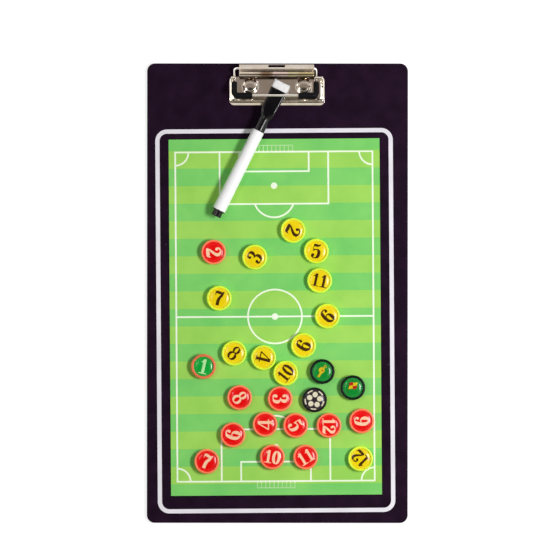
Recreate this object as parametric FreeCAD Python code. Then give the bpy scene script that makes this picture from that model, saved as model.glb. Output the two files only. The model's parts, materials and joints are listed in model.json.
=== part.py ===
import FreeCAD, Part
import math
import os
from FreeCAD import Vector

# Magnetic football tactics board with a wire paper clip, a marker and magnetic counters.
# Millimetres. The board lies on its back: origin at the middle of the back face,
# +X to the right, +Y towards the clip, +Z out of the printed face.

# Board
board_width = 235.0
board_height = 414.0
board_corner_radius = 7.0
liner_thickness = 0.25
core_thickness = 2.5
steel_thickness = 0.3
cover_thickness = 0.25
cover_edge_wall = 0.5
ink_thickness = 0.05

# Print, hung from the clip edge and turned a little on the board
print_x = -1.9
print_skew_deg = 0.45
header_height = 58.8
border_width = 214.0
border_height = 346.0
border_line = 3.8
border_corner_radius = 10.5
pitch_side_gap = 8.2
pitch_top_gap = 5.4
pitch_bottom_gap = 12.0
band_count = 19
band_margin = 10.4

# Pitch markings
touch_line_margin = 6.15
goal_line_margin = 12.1
field_shift_x = -0.3
field_shift_y = 0.5
marking_line = 1.5
penalty_width = 97.9
penalty_depth = 46.9
goal_area_width = 62.8
goal_area_depth = 17.6
spot_distance = 30.5
spot_radius = 2.9
circle_radius = 24.3
arc_radius = 18.6
arc_rise = 12.1
corner_arc_radius = 11.9
goal_width = 33.8
goal_depth = 5.9
net_line = 0.9
net_bars = 10

# Clip tray
clip_x = -0.5
hinge_setback = 13.3
sheet_thickness = 0.8
tray_width = 85.4
tray_front_reach = 24.5
tray_rear_reach = 1.3
tray_corner_radius = 4.0
tray_rim_width = 2.6
tray_rim_height = 2.4
tray_rim_rounding = 0.9
tray_lip_depth = 2.4
tray_ridge_width = 3.2
floor_corner_radius = 3.0
pip_spacing = 47.0
pip_radius = 1.1
boss_base_diameter = 14.2
boss_top_diameter = 11.0
boss_height = 0.6
ear_length = 3.2
lug_diameter = 2.8
lug_overlap = 1.5

# Rivets
rivet_spacing = 48.2
rivet_reach = 7.1
rivet_head_diameter = 9.4
rivet_head_height = 2.0
rivet_shank_diameter = 4.0
rivet_hole_clearance = 0.1
washer_diameter = 8.0
washer_thickness = 0.6
rivet_tail_diameter = 6.0
rivet_tail_thickness = 0.6
counterbore_clearance = 0.4
tail_recess = 0.3

# Wire jaw
wire_diameter = 2.0
jaw_shift = -1.5
jaw_half_span = 36.9
jaw_reach = 15.8
rear_bar_reach = 8.6
rear_bar_height = 6.0
wire_corner_radius = 2.4
jaw_corner_radius = 4.0
wire_joint_gap = 1.0
hinge_clearance = 0.1
wire_floor_clearance = 0.3
sleeve_diameter = 5.2
sleeve_bore_clearance = 0.05
sleeve_bar_length = 16.2
sleeve_lug_clearance = 0.3

# Lever
lever_length = 67.4
lever_shift = -0.3
lever_bore_clearance = 0.08
lever_tail = 3.6
lever_tail_slope = 0.9
lever_roll_radius = 3.0
lever_roll_reach = 5.45
lever_heel_gap = 0.5
lever_heel_setback = 0.45
hang_slot_length = 15.0
hang_slot_width = 2.5
hang_slot_rim = 0.4

# Marker
marker_angle_deg = 26.5
marker_cross_x = -1.3
marker_grip = 35.5
grip_clearance = 0.3
cap_rest_clearance = 0.2
cap_skirt_length = 13.5
cap_skirt_diameter = 10.2
cap_head_length = 27.5
cap_head_width = 15.5
cap_head_foot_width = 14.4
cap_shoulder_width = 11.2
cap_shoulder_height = 10.4
cap_head_height = 11.4
cap_head_rounding = 2.8
cap_shoulder_length = 3.0
cap_wall = 0.8
cap_mouth_gap = 0.15
eraser_length = 7.8
eraser_width = 15.0
eraser_height = 10.6
eraser_rounding = 1.6
barrel_length = 79.6
barrel_front_diameter = 11.0
barrel_rear_diameter = 12.0
barrel_bore = 8.6
press_clearance = 0.03
nose_seat_length = 8.0
nose_clearance = 0.2
nose_straight_length = 7.0
nose_cone_length = 7.0
nose_tip_diameter = 4.6
nib_diameter = 3.0
nib_seat_length = 8.0
nib_exposed_length = 5.0
nib_room = 3.0
plug_collar_length = 1.1
plug_stub_length = 5.2
plug_stub_diameter = 8.8
plug_spigot_length = 8.0
reservoir_gap = 0.5
reservoir_clearance = 0.25

# Counters: x and y of each, as they lie in play, from the point counter_drop below the clip edge
counter_drop = 207.0
counter_diameter = 22.8
counter_foot_diameter = 21.4
counter_height = 6.0
counter_rim = 1.8
counter_rim_rounding = 0.8
counter_face_depth = 1.3
label_thickness = 0.3
label_clearance = 0.05
dome_edge = 0.7
dome_crown = 1.3
ferrite_diameter = 15.0
ferrite_thickness = 3.0
ferrite_clearance = 0.05
counter_places = {
    "yellow_2": (14.0, 56.5),
    "yellow_3": (-20.5, 32.5),
    "yellow_4": (-12.5, -58.0),
    "yellow_5": (35.0, 38.0),
    "yellow_6": (45.0, -20.5),
    "yellow_7": (-52.5, -4.5),
    "yellow_8": (-39.0, -54.0),
    "yellow_9": (23.5, -47.0),
    "yellow_10": (7.5, -72.0),
    "yellow_11": (38.0, 11.5),
    "yellow_12": (75.0, -149.0),
    "red_2": (-57.5, 37.0),
    "red_3": (2.5, -95.0),
    "red_4": (-11.0, -118.0),
    "red_5": (16.5, -119.0),
    "red_6": (-40.0, -127.5),
    "red_7": (-63.5, -151.5),
    "red_8": (-34.0, -94.0),
    "red_9": (76.0, -115.0),
    "red_10": (-4.5, -147.5),
    "red_11": (25.5, -147.5),
    "red_12": (46.5, -119.0),
    "green_1": (-66.5, -66.0),
    "whistle": (40.5, -70.5),
    "flag": (68.0, -85.0),
    "ball": (33.5, -96.0),
}

# Print sizes that follow from the frame line
pitch_width = border_width - 2 * (border_line + pitch_side_gap)
pitch_height = border_height - 2 * border_line - pitch_top_gap - pitch_bottom_gap
pitch_drop = header_height + border_line + pitch_top_gap + pitch_height / 2
border_shift = (pitch_top_gap - pitch_bottom_gap) / 2
band_height = (pitch_height - 2 * band_margin) / band_count
field_width = pitch_width - 2 * touch_line_margin
field_height = pitch_height - 2 * goal_line_margin

# Levels and lines that several pieces share
core_bottom = liner_thickness
steel_bottom = core_bottom + core_thickness
cover_bottom = steel_bottom + steel_thickness
board_top = cover_bottom + cover_thickness
bands_bottom = board_top + ink_thickness
markings_bottom = bands_bottom + ink_thickness
print_top = markings_bottom + ink_thickness
floor_top = board_top + sheet_thickness
wire_radius = wire_diameter / 2
lug_radius = lug_diameter / 2
clip_edge = board_height / 2
hinge_y = clip_edge - hinge_setback
wire_bend_radius = lug_radius + hinge_clearance + wire_radius
hinge_z = floor_top + wire_floor_clearance + wire_radius + wire_bend_radius
jaw_x = clip_x + jaw_shift
jaw_y = hinge_y - jaw_reach
tray_front = hinge_y - tray_front_reach
tray_rear = hinge_y + tray_rear_reach
rivet_y = hinge_y - rivet_reach
rear_bar_y = hinge_y + rear_bar_reach
rear_bar_z = board_top + rear_bar_height
rim_top = board_top + tray_rim_height
marker_axis_z = rim_top + cap_rest_clearance + cap_head_height / 2
jaw_bar_z = marker_axis_z + cap_head_height / 2 + grip_clearance + wire_radius
lever_x = clip_x + lever_shift
counter_middle = clip_edge - counter_drop
counter_bottom = print_top
cap_bore = cap_skirt_diameter - 2 * cap_wall
nose_diameter = cap_bore - 2 * nose_clearance
nose_length = nose_straight_length + nose_cone_length
right = Vector(1, 0, 0)
up = Vector(0, 0, 1)


def box(x_low, x_high, y_low, y_high, z_low, z_high):
    return Part.makeBox(x_high - x_low, y_high - y_low, z_high - z_low, Vector(x_low, y_low, z_low))


def cylinder(diameter, height, x, y, z, axis=up):
    return Part.makeCylinder(diameter / 2, height, Vector(x, y, z), axis)


def cone(low_diameter, high_diameter, height, x, y, z):
    return Part.makeCone(low_diameter / 2, high_diameter / 2, height, Vector(x, y, z), up)


def rounded_plate(x, y, width, height, radius, z, thickness):
    # A flat plate with round corners, by its middle, from z upwards.
    plate = box(x - width / 2, x + width / 2, y - height / 2, y + height / 2, z, z + thickness)
    uprights = [e for e in plate.Edges if abs(e.Vertexes[0].Z - e.Vertexes[1].Z) > thickness / 2]
    return plate.makeFillet(radius, uprights)


def edges_at_height(shape, z, tolerance=0.001):
    def level(edge):
        return max(abs(edge.BoundBox.ZMin - z), abs(edge.BoundBox.ZMax - z)) < tolerance

    return [edge for edge in shape.Edges if level(edge)]


def union(shapes):
    first = shapes[0]
    return first.multiFuse(shapes[1:]).removeSplitter()


def bent_path(points, radii):
    # Straight runs through the points, joined by tangent arcs of the given radii at the inner points.
    edges = []
    start = points[0]
    for before, corner, after, radius in zip(points, points[1:], points[2:], radii):
        towards = (before - corner).normalize()
        onwards = (after - corner).normalize()
        half_turn = towards.getAngle(onwards) / 2
        setback = radius / math.tan(half_turn)
        inward = (towards + onwards).normalize()
        centre = corner + inward * (radius / math.sin(half_turn))
        arc_start = corner + towards * setback
        arc_end = corner + onwards * setback
        edges.append(Part.LineSegment(start, arc_start).toShape())
        edges.append(Part.Arc(arc_start, centre - inward * radius, arc_end).toShape())
        start = arc_end
    edges.append(Part.LineSegment(start, points[-1]).toShape())
    return Part.Wire(edges)


def tube_along(path, diameter):
    start = path.Edges[0].Vertexes[0].Point
    heading = path.Edges[0].Vertexes[1].Point - start
    ring = Part.Wire(Part.makeCircle(diameter / 2, start, heading))
    return path.makePipeShell([ring], True, False)


def save(shape, node):
    shape.exportStep("parts/" + node + ".step")


# Board layers
def rivet_holes(diameter, z_low, z_high):
    spots = [clip_x - rivet_spacing / 2, clip_x + rivet_spacing / 2]
    return [cylinder(diameter, z_high - z_low, x, rivet_y, z_low) for x in spots]


def inner_layer(z, thickness):
    inset = 2 * cover_edge_wall
    radius = board_corner_radius - cover_edge_wall
    return rounded_plate(0, 0, board_width - inset, board_height - inset, radius, z, thickness)


shank_hole = rivet_shank_diameter + 2 * rivet_hole_clearance
counterbore = washer_diameter + 2 * counterbore_clearance
counterbore_top = tail_recess + rivet_tail_thickness + washer_thickness


def make_board_layers():
    holes = rivet_holes(shank_hole, 0, board_top)
    sinks = rivet_holes(counterbore, 0, counterbore_top)
    liner = inner_layer(0, liner_thickness).cut(sinks)
    core = inner_layer(core_bottom, core_thickness).cut(holes + sinks)
    steel = inner_layer(steel_bottom, steel_thickness).cut(holes)
    whole = rounded_plate(0, 0, board_width, board_height, board_corner_radius, 0, board_top)
    cover = whole.cut([inner_layer(0, cover_bottom)] + holes)
    save(liner, "back_liner")
    save(core, "core_panel")
    save(steel, "steel_sheet")
    save(cover, "front_cover")


# Print: drawn square about its own middle, then turned and moved onto the board
def place_print(shape):
    shape.rotate(Vector(0, 0, 0), up, print_skew_deg)
    shape.translate(Vector(print_x, clip_edge - pitch_drop, 0))
    return shape


def bar(x_low, x_high, y_low, y_high):
    return box(x_low, x_high, y_low, y_high, markings_bottom, print_top)


def rectangle_line(x_low, x_high, y_low, y_high, line):
    half = line / 2
    outer = bar(x_low - half, x_high + half, y_low - half, y_high + half)
    inner = bar(x_low + half, x_high - half, y_low + half, y_high - half)
    return outer.cut(inner)


def circle_line(x, y, radius, line):
    outer = cylinder(2 * radius + line, ink_thickness, x, y, markings_bottom)
    inner = cylinder(2 * radius - line, ink_thickness, x, y, markings_bottom)
    return outer.cut(inner)


def end_markings(end):
    # One end's areas, spot, arc and goal; end is 1 for the clip end and -1 for the far end.
    goal_line = end * field_height / 2

    def area(width, depth, line):
        inner_line = goal_line - end * depth
        low = min(goal_line, inner_line)
        high = max(goal_line, inner_line)
        return rectangle_line(-width / 2, width / 2, low, high, line)

    penalty_line = goal_line - end * penalty_depth
    spot = cylinder(2 * spot_radius, ink_thickness, 0, goal_line - end * spot_distance, markings_bottom)
    arc_circle = circle_line(0, penalty_line + end * (arc_radius - arc_rise), arc_radius, marking_line)
    beyond_low = min(penalty_line, penalty_line - end * 2 * arc_rise)
    arc = arc_circle.common(bar(-arc_radius * 2, arc_radius * 2, beyond_low, beyond_low + 2 * arc_rise))
    pieces = [spot, arc]
    pieces.append(area(penalty_width, penalty_depth, marking_line))
    pieces.append(area(goal_area_width, goal_area_depth, marking_line))
    pieces.append(area(goal_width, -goal_depth, net_line))
    net_step = goal_width / (net_bars - 1)
    net_low = min(goal_line, goal_line + end * goal_depth)
    for number in range(1, net_bars - 1):
        x = -goal_width / 2 + number * net_step
        pieces.append(bar(x - net_line / 2, x + net_line / 2, net_low, net_low + goal_depth))
    return pieces


def corner_arcs():
    half_width = field_width / 2
    half_height = field_height / 2
    field = bar(-half_width, half_width, -half_height, half_height)
    corners = [(x, y) for x in (-half_width, half_width) for y in (-half_height, half_height)]
    return [circle_line(x, y, corner_arc_radius, marking_line).common(field) for x, y in corners]


def make_print():
    border_outer = rounded_plate(
        0, border_shift, border_width, border_height, border_corner_radius, board_top, ink_thickness)
    border_inner = rounded_plate(
        0, border_shift, border_width - 2 * border_line, border_height - 2 * border_line,
        border_corner_radius - border_line, board_top, ink_thickness)
    save(place_print(border_outer.cut(border_inner)), "border_print")

    half_width = pitch_width / 2
    pitch = box(-half_width, half_width, -pitch_height / 2, pitch_height / 2, board_top, bands_bottom)
    save(place_print(pitch), "pitch_print")

    first_band = -band_count * band_height / 2
    bands = []
    for number in range(0, band_count, 2):
        low = first_band + number * band_height
        bands.append(box(-half_width, half_width, low, low + band_height, bands_bottom, markings_bottom))
    save(place_print(Part.makeCompound(bands)), "pitch_bands")

    half_field = field_width / 2
    pieces = [rectangle_line(-half_field, half_field, -field_height / 2, field_height / 2, marking_line)]
    pieces.append(bar(-half_field, half_field, -marking_line / 2, marking_line / 2))
    pieces.append(circle_line(0, 0, circle_radius, marking_line))
    pieces.append(cylinder(2 * spot_radius, ink_thickness, 0, 0, markings_bottom))
    pieces += end_markings(1) + end_markings(-1) + corner_arcs()
    markings = union(pieces)
    markings.translate(Vector(field_shift_x, field_shift_y, 0))
    save(place_print(markings), "pitch_markings")


# Clip tray: a pressed sheet with hollow rims at the sides and a hollow ridge behind the front lip
def make_tray():
    depth = tray_rear - tray_front
    middle_y = (tray_front + tray_rear) / 2
    ridge_front = tray_front + tray_lip_depth
    ridge_rear = ridge_front + tray_ridge_width
    corner = tray_corner_radius
    plate = rounded_plate(clip_x, middle_y, tray_width, depth, corner, board_top, sheet_thickness)

    raised_middle = (ridge_front + tray_rear) / 2
    raised_depth = tray_rear - ridge_front
    raised = rounded_plate(
        clip_x, raised_middle, tray_width, raised_depth, corner, board_top, tray_rim_height)
    floor_length = 2 * (tray_rear - ridge_rear)
    floor_width = tray_width - 2 * tray_rim_width
    floor = rounded_plate(
        clip_x, tray_rear, floor_width, floor_length, floor_corner_radius, floor_top, tray_rim_height)
    raised = raised.cut(floor)
    raised = raised.makeFillet(tray_rim_rounding, edges_at_height(raised, rim_top))
    shell = plate.fuse(raised)

    # The rims and the ridge are hollow from below, one sheet thick all round.
    hollow_top = rim_top - sheet_thickness
    hollow = rounded_plate(
        clip_x, raised_middle, tray_width - 2 * sheet_thickness, raised_depth - 2 * sheet_thickness,
        corner - sheet_thickness, board_top, hollow_top - board_top)
    kept = rounded_plate(
        clip_x, tray_rear, floor_width + 2 * sheet_thickness, floor_length + 2 * sheet_thickness,
        floor_corner_radius + sheet_thickness, board_top, hollow_top - board_top)
    shell = shell.cut(hollow.cut(kept))

    pieces = [shell]
    for side in (-1, 1):
        rivet_x = clip_x + side * rivet_spacing / 2
        pieces.append(cone(boss_base_diameter, boss_top_diameter, boss_height, rivet_x, rivet_y, floor_top))
        pip_y = (ridge_front + ridge_rear) / 2
        pip = Part.makeSphere(pip_radius, Vector(clip_x + side * pip_spacing / 2, pip_y, rim_top))
        pieces.append(pip)
        rim_inner = clip_x + side * (tray_width / 2 - tray_rim_width)
        rim_middle = clip_x + side * (tray_width / 2 - tray_rim_width / 2)
        lug_end = jaw_x + side * (jaw_half_span - lug_overlap)
        ear_low = min(rim_inner, rim_middle)
        ear_high = max(rim_inner, rim_middle)
        ear_front = hinge_y - ear_length / 2
        ear_rear = hinge_y + ear_length / 2
        ear_foot = rim_top - sheet_thickness
        pieces.append(box(ear_low, ear_high, ear_front, ear_rear, ear_foot, hinge_z))
        lug_low = min(lug_end, rim_middle)
        lug_length = abs(rim_middle - lug_end)
        pieces.append(cylinder(lug_diameter, lug_length, lug_low, hinge_y, hinge_z, right))
        pieces.append(cylinder(ear_length, ear_high - ear_low, ear_low, hinge_y, hinge_z, right))
    tray = union(pieces)
    boss_top = floor_top + boss_height
    save(tray.cut(rivet_holes(shank_hole, board_top, boss_top)), "clip_tray")


def make_rivets():
    head_seat = floor_top + boss_height
    head_radius = rivet_head_diameter / 2
    sphere_radius = (head_radius ** 2 + rivet_head_height ** 2) / (2 * rivet_head_height)
    rivets = []
    washers = []
    washer_bottom = counterbore_top - washer_thickness
    for x in (clip_x - rivet_spacing / 2, clip_x + rivet_spacing / 2):
        ball_z = head_seat + rivet_head_height - sphere_radius
        ball = Part.makeSphere(sphere_radius, Vector(x, rivet_y, ball_z))
        head = ball.common(cylinder(rivet_head_diameter, rivet_head_height, x, rivet_y, head_seat))
        shank = cylinder(rivet_shank_diameter, head_seat - tail_recess, x, rivet_y, tail_recess)
        tail = cylinder(rivet_tail_diameter, rivet_tail_thickness, x, rivet_y, tail_recess)
        rivets.append(union([head, shank, tail]))
        ring = cylinder(washer_diameter, washer_thickness, x, rivet_y, washer_bottom)
        washers.append(ring.cut(cylinder(shank_hole, washer_thickness, x, rivet_y, washer_bottom)))
    save(Part.makeCompound(rivets), "clip_rivets")
    save(Part.makeCompound(washers), "rivet_washers")


# Wire jaw: each leg runs from the rear bar down round the ear's lug and up to the front bar
def tangent_angle(y, z):
    # Slope of the line through (y, z) that passes below the lug, touching the wire's bend there.
    reach = math.hypot(y - hinge_y, z - hinge_z)
    rise = math.atan2(z - hinge_z, abs(y - hinge_y))
    return rise + math.asin(wire_bend_radius / reach)


def leg_corner():
    front_slope = math.tan(tangent_angle(jaw_y, jaw_bar_z))
    rear_slope = math.tan(tangent_angle(rear_bar_y, rear_bar_z))
    # The front line falls from the jaw bar, the rear line from the rear bar, and they meet below the lug.
    rise = jaw_bar_z - rear_bar_z
    y = (rise + front_slope * jaw_y + rear_slope * rear_bar_y) / (front_slope + rear_slope)
    return y, jaw_bar_z - front_slope * (y - jaw_y)


def make_jaw():
    bend_y, bend_z = leg_corner()
    half_gap = wire_joint_gap / 2

    def side_points(side):
        x = jaw_x + side * jaw_half_span
        inner = jaw_x + side * half_gap
        rear_end = Vector(inner, rear_bar_y, rear_bar_z)
        rear_corner = Vector(x, rear_bar_y, rear_bar_z)
        front_corner = Vector(x, jaw_y, jaw_bar_z)
        return [rear_end, rear_corner, Vector(x, bend_y, bend_z), front_corner]

    route = side_points(-1) + side_points(1)[::-1]
    left_radii = [wire_corner_radius, wire_bend_radius, jaw_corner_radius]
    wire = tube_along(bent_path(route, left_radii + left_radii[::-1]), wire_diameter)
    save(wire, "jaw_wire")

    # A sleeve starts on the leg where it clears the lug, and ends on the front bar.
    sleeve_start = lug_radius + sleeve_diameter / 2 + sleeve_lug_clearance
    along_leg = math.sqrt(sleeve_start ** 2 - wire_bend_radius ** 2)
    slope = tangent_angle(jaw_y, jaw_bar_z)
    bar_distance = math.hypot(jaw_y - hinge_y, jaw_bar_z - hinge_z)
    leg_length = math.sqrt(bar_distance ** 2 - wire_bend_radius ** 2) - along_leg
    for side, name in ((-1, "left"), (1, "right")):
        x = jaw_x + side * jaw_half_span
        top = Vector(x, jaw_y + leg_length * math.cos(slope), jaw_bar_z - leg_length * math.sin(slope))
        end = Vector(x - side * sleeve_bar_length, jaw_y, jaw_bar_z)
        path = bent_path([top, Vector(x, jaw_y, jaw_bar_z), end], [jaw_corner_radius])
        outer = tube_along(path, sleeve_diameter)
        inner = tube_along(path, wire_diameter + 2 * sleeve_bore_clearance)
        save(outer.cut(inner), "jaw_sleeve_" + name)


def make_lever():
    # The profile stands in a Y-Z plane about the rear bar, and is carried along X.
    x_low = lever_x - lever_length / 2
    x_high = lever_x + lever_length / 2
    bore_radius = wire_radius + lever_bore_clearance
    curl_radius = bore_radius + sheet_thickness
    top = rear_bar_z + curl_radius

    def along(diameter, y, z):
        return cylinder(diameter, lever_length, x_low, y, z, right)

    def plate(corners):
        points = [Vector(x_low, y, z) for y, z in corners]
        return Part.Face(Part.makePolygon(points + points[:1])).extrude(right * lever_length)

    roll_y = rear_bar_y - lever_roll_reach
    roll_z = top + sheet_thickness / 2 - lever_roll_radius
    tail_end = rear_bar_y + lever_tail
    tail_top = top - lever_tail_slope
    tail = plate([
        (rear_bar_y, top), (rear_bar_y, top - sheet_thickness),
        (tail_end, tail_top - sheet_thickness), (tail_end, tail_top)])
    web_top = top - sheet_thickness
    web = plate([
        (rear_bar_y, web_top), (rear_bar_y, web_top - sheet_thickness),
        (roll_y, web_top - sheet_thickness), (roll_y, web_top)])
    heel_end = board_top + lever_heel_gap
    heel_y = rear_bar_y + lever_heel_setback
    heel = plate([
        (heel_y - sheet_thickness / 2, rear_bar_z), (heel_y - sheet_thickness / 2, heel_end),
        (heel_y + sheet_thickness / 2, heel_end), (heel_y + sheet_thickness / 2, rear_bar_z)])
    roll = along(2 * lever_roll_radius, roll_y, roll_z)
    roll_inside = along(2 * (lever_roll_radius - sheet_thickness), roll_y, roll_z)
    bore = along(2 * bore_radius, rear_bar_y, rear_bar_z)
    body = union([along(2 * curl_radius, rear_bar_y, rear_bar_z), tail, web, heel, roll])
    slot_rear = tail_end - hang_slot_rim
    slot = box(
        lever_x - hang_slot_length / 2, lever_x + hang_slot_length / 2,
        slot_rear - hang_slot_width, slot_rear, rear_bar_z + wire_radius, top + sheet_thickness)
    save(body.cut([roll_inside, bore, slot]), "clip_lever")


# Marker: each piece stands on its own axis, mouth of the cap at height 0, then it is laid under the jaw
def lay_marker(shape):
    angle = math.radians(marker_angle_deg)
    along = Vector(math.sin(angle), math.cos(angle), 0)
    shape.rotate(Vector(0, 0, 0), right, -90)
    shape.rotate(Vector(0, 0, 0), up, -marker_angle_deg)
    shape.translate(Vector(marker_cross_x, jaw_y, marker_axis_z) - along * marker_grip)
    return shape


def head_section(width, height, z):
    half = width / 2 - cap_head_rounding
    rise = height / 2 - cap_head_rounding
    points = [Vector(x * half, y * rise, z) for x, y in ((1, 1), (-1, 1), (-1, -1), (1, -1))]
    edges = []
    for number, centre in enumerate(points):
        start = math.pi / 2 * number
        stops = [start, start + math.pi / 4, start + math.pi / 2]
        spots = [centre + Vector(math.cos(a), math.sin(a), 0) * cap_head_rounding for a in stops]
        edges.append(Part.Arc(spots[0], spots[1], spots[2]).toShape())
    wires = []
    for edge, after in zip(edges, edges[1:] + edges[:1]):
        wires.append(edge)
        wires.append(Part.LineSegment(edge.Vertexes[1].Point, after.Vertexes[0].Point).toShape())
    return Part.Wire(wires)


def make_marker():
    head_foot = cap_skirt_length
    head_top = head_foot + cap_head_length
    shoulder_top = head_foot + cap_shoulder_length
    skirt = cylinder(cap_skirt_diameter, shoulder_top - cap_mouth_gap, 0, 0, cap_mouth_gap)
    shoulder_foot = head_section(cap_shoulder_width, cap_shoulder_height, head_foot)
    widest_foot = head_section(cap_head_foot_width, cap_head_height, shoulder_top)
    shoulder = Part.makeLoft([shoulder_foot, widest_foot], True, True)
    head_end = head_section(cap_head_width, cap_head_height, head_top)
    head = Part.makeLoft([widest_foot, head_end], True, True)
    cavity = nose_length + nib_exposed_length + nib_room
    cap = union([skirt, shoulder, head]).cut(cylinder(cap_bore, cavity, 0, 0, 0))
    save(lay_marker(cap), "marker_cap")

    eraser = rounded_plate(0, 0, eraser_width, eraser_height, eraser_rounding, head_top, eraser_length)
    save(lay_marker(eraser), "marker_eraser")

    tube = cone(barrel_rear_diameter, barrel_front_diameter, barrel_length, 0, 0, -barrel_length)
    barrel = tube.cut(cylinder(barrel_bore, barrel_length, 0, 0, -barrel_length))
    save(lay_marker(barrel), "marker_barrel")

    seat_diameter = barrel_bore - 2 * press_clearance
    collar_bottom = -barrel_length - plug_collar_length
    spigot = cylinder(seat_diameter, plug_spigot_length, 0, 0, -barrel_length)
    collar = cylinder(barrel_rear_diameter, plug_collar_length, 0, 0, collar_bottom)
    stub = cylinder(plug_stub_diameter, plug_stub_length, 0, 0, collar_bottom - plug_stub_length)
    save(lay_marker(union([spigot, collar, stub])), "marker_end_plug")

    seat = cylinder(seat_diameter, nose_seat_length, 0, 0, -nose_seat_length)
    straight = cylinder(nose_diameter, nose_straight_length, 0, 0, 0)
    tip = cone(nose_diameter, nose_tip_diameter, nose_cone_length, 0, 0, nose_straight_length)
    hole_diameter = nib_diameter + 2 * press_clearance
    nib_hole = cylinder(hole_diameter, nose_length + nose_seat_length, 0, 0, -nose_seat_length)
    save(lay_marker(union([seat, straight, tip]).cut(nib_hole)), "marker_nose")

    nib_foot = nose_length - nib_seat_length
    nib_top = nose_length + nib_exposed_length
    nib_rod = cylinder(nib_diameter, nib_top - nib_foot - nib_diameter / 2, 0, 0, nib_foot)
    nib_end = Part.makeSphere(nib_diameter / 2, Vector(0, 0, nib_top - nib_diameter / 2))
    ink_top = -nose_seat_length - reservoir_gap
    wick = cylinder(nib_diameter, nib_foot - ink_top, 0, 0, ink_top)
    save(lay_marker(union([wick, nib_rod, nib_end])), "marker_nib")

    ink_bottom = -barrel_length + plug_spigot_length + reservoir_gap
    reservoir_diameter = barrel_bore - 2 * reservoir_clearance
    reservoir = cylinder(reservoir_diameter, ink_top - ink_bottom, 0, 0, ink_bottom)
    save(lay_marker(reservoir), "ink_reservoir")


# Counters: cup, ferrite disc under it, printed disc in its face, clear dome over the disc
def make_counter(name, x, y):
    face_diameter = counter_diameter - 2 * counter_rim
    cup_top = counter_bottom + counter_height
    face = cup_top - counter_face_depth
    cup = cone(counter_foot_diameter, counter_diameter, counter_height, x, y, counter_bottom)
    cup = cup.cut(cylinder(face_diameter, counter_face_depth, x, y, face))
    cup = cup.makeFillet(counter_rim_rounding, edges_at_height(cup, cup_top))
    pocket = ferrite_diameter + 2 * ferrite_clearance
    cup = cup.cut(cylinder(pocket, ferrite_thickness, x, y, counter_bottom))
    ferrite = cylinder(ferrite_diameter, ferrite_thickness, x, y, counter_bottom)
    disc_diameter = face_diameter - 2 * label_clearance
    label = cylinder(disc_diameter, label_thickness, x, y, face)
    dome_bottom = face + label_thickness
    disc_radius = disc_diameter / 2
    sphere_radius = (disc_radius ** 2 + dome_crown ** 2) / (2 * dome_crown)
    crown_base = dome_bottom + dome_edge
    crown_top = crown_base + dome_crown
    ball = Part.makeSphere(sphere_radius, Vector(x, y, crown_top - sphere_radius))
    dome = cylinder(disc_diameter, dome_edge + dome_crown, x, y, dome_bottom).common(ball)
    save(Part.makeCompound([cup, ferrite, label, dome]), "counter_" + name)


os.makedirs("parts", exist_ok=True)
make_board_layers()
make_print()
make_tray()
make_rivets()
make_jaw()
make_lever()
make_marker()
for counter_name, (counter_x, counter_y) in counter_places.items():
    make_counter(counter_name, counter_x, counter_middle + counter_y)
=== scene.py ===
import bmesh
import bpy
import json
import math
import numpy as np
from types import SimpleNamespace
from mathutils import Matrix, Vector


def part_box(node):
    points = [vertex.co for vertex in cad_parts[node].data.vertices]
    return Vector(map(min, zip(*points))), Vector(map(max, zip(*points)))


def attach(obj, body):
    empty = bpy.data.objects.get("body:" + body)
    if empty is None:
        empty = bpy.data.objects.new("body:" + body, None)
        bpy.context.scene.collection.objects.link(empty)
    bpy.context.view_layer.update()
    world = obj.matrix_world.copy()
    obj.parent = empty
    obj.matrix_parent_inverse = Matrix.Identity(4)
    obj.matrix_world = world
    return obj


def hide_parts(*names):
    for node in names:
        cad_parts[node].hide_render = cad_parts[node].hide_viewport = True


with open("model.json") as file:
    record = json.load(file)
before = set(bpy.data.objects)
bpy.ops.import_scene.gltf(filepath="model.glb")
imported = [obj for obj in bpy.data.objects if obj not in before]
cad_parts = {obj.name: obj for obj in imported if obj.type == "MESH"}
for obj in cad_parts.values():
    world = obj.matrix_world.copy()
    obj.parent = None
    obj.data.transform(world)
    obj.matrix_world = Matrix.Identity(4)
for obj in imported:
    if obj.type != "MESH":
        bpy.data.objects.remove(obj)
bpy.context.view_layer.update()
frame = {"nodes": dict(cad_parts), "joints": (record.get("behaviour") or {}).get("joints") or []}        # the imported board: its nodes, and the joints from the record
mm = 0.001


# mesh tools: every grid is an array of points, rows by columns by three, in millimetres

def nodeBox(node):
    low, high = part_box(node)
    return np.array(low) / mm, np.array(high) / mm


def gridPatch(points, wrapRows=False, wrapColumns=True, caps="", finish=0):
    # quads between neighbouring points; a cap is one flat face over the last row, or over both end rows
    rows, columns = points.shape[:2]
    r, c = np.meshgrid(np.arange(rows - (not wrapRows)), np.arange(columns - (not wrapColumns)), indexing="ij")
    r2, c2 = (r + 1) % rows, (c + 1) % columns
    corners = [r * columns + c, r2 * columns + c, r2 * columns + c2, r * columns + c2]
    faces = np.stack(corners, -1).reshape(-1, 4).tolist()
    ring = np.arange(columns)
    if caps == "both":
        faces.append(ring[::-1].tolist())
    if caps:
        faces.append((ring + (rows - 1) * columns).tolist())
    return points.reshape(-1, 3), faces, finish


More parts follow.
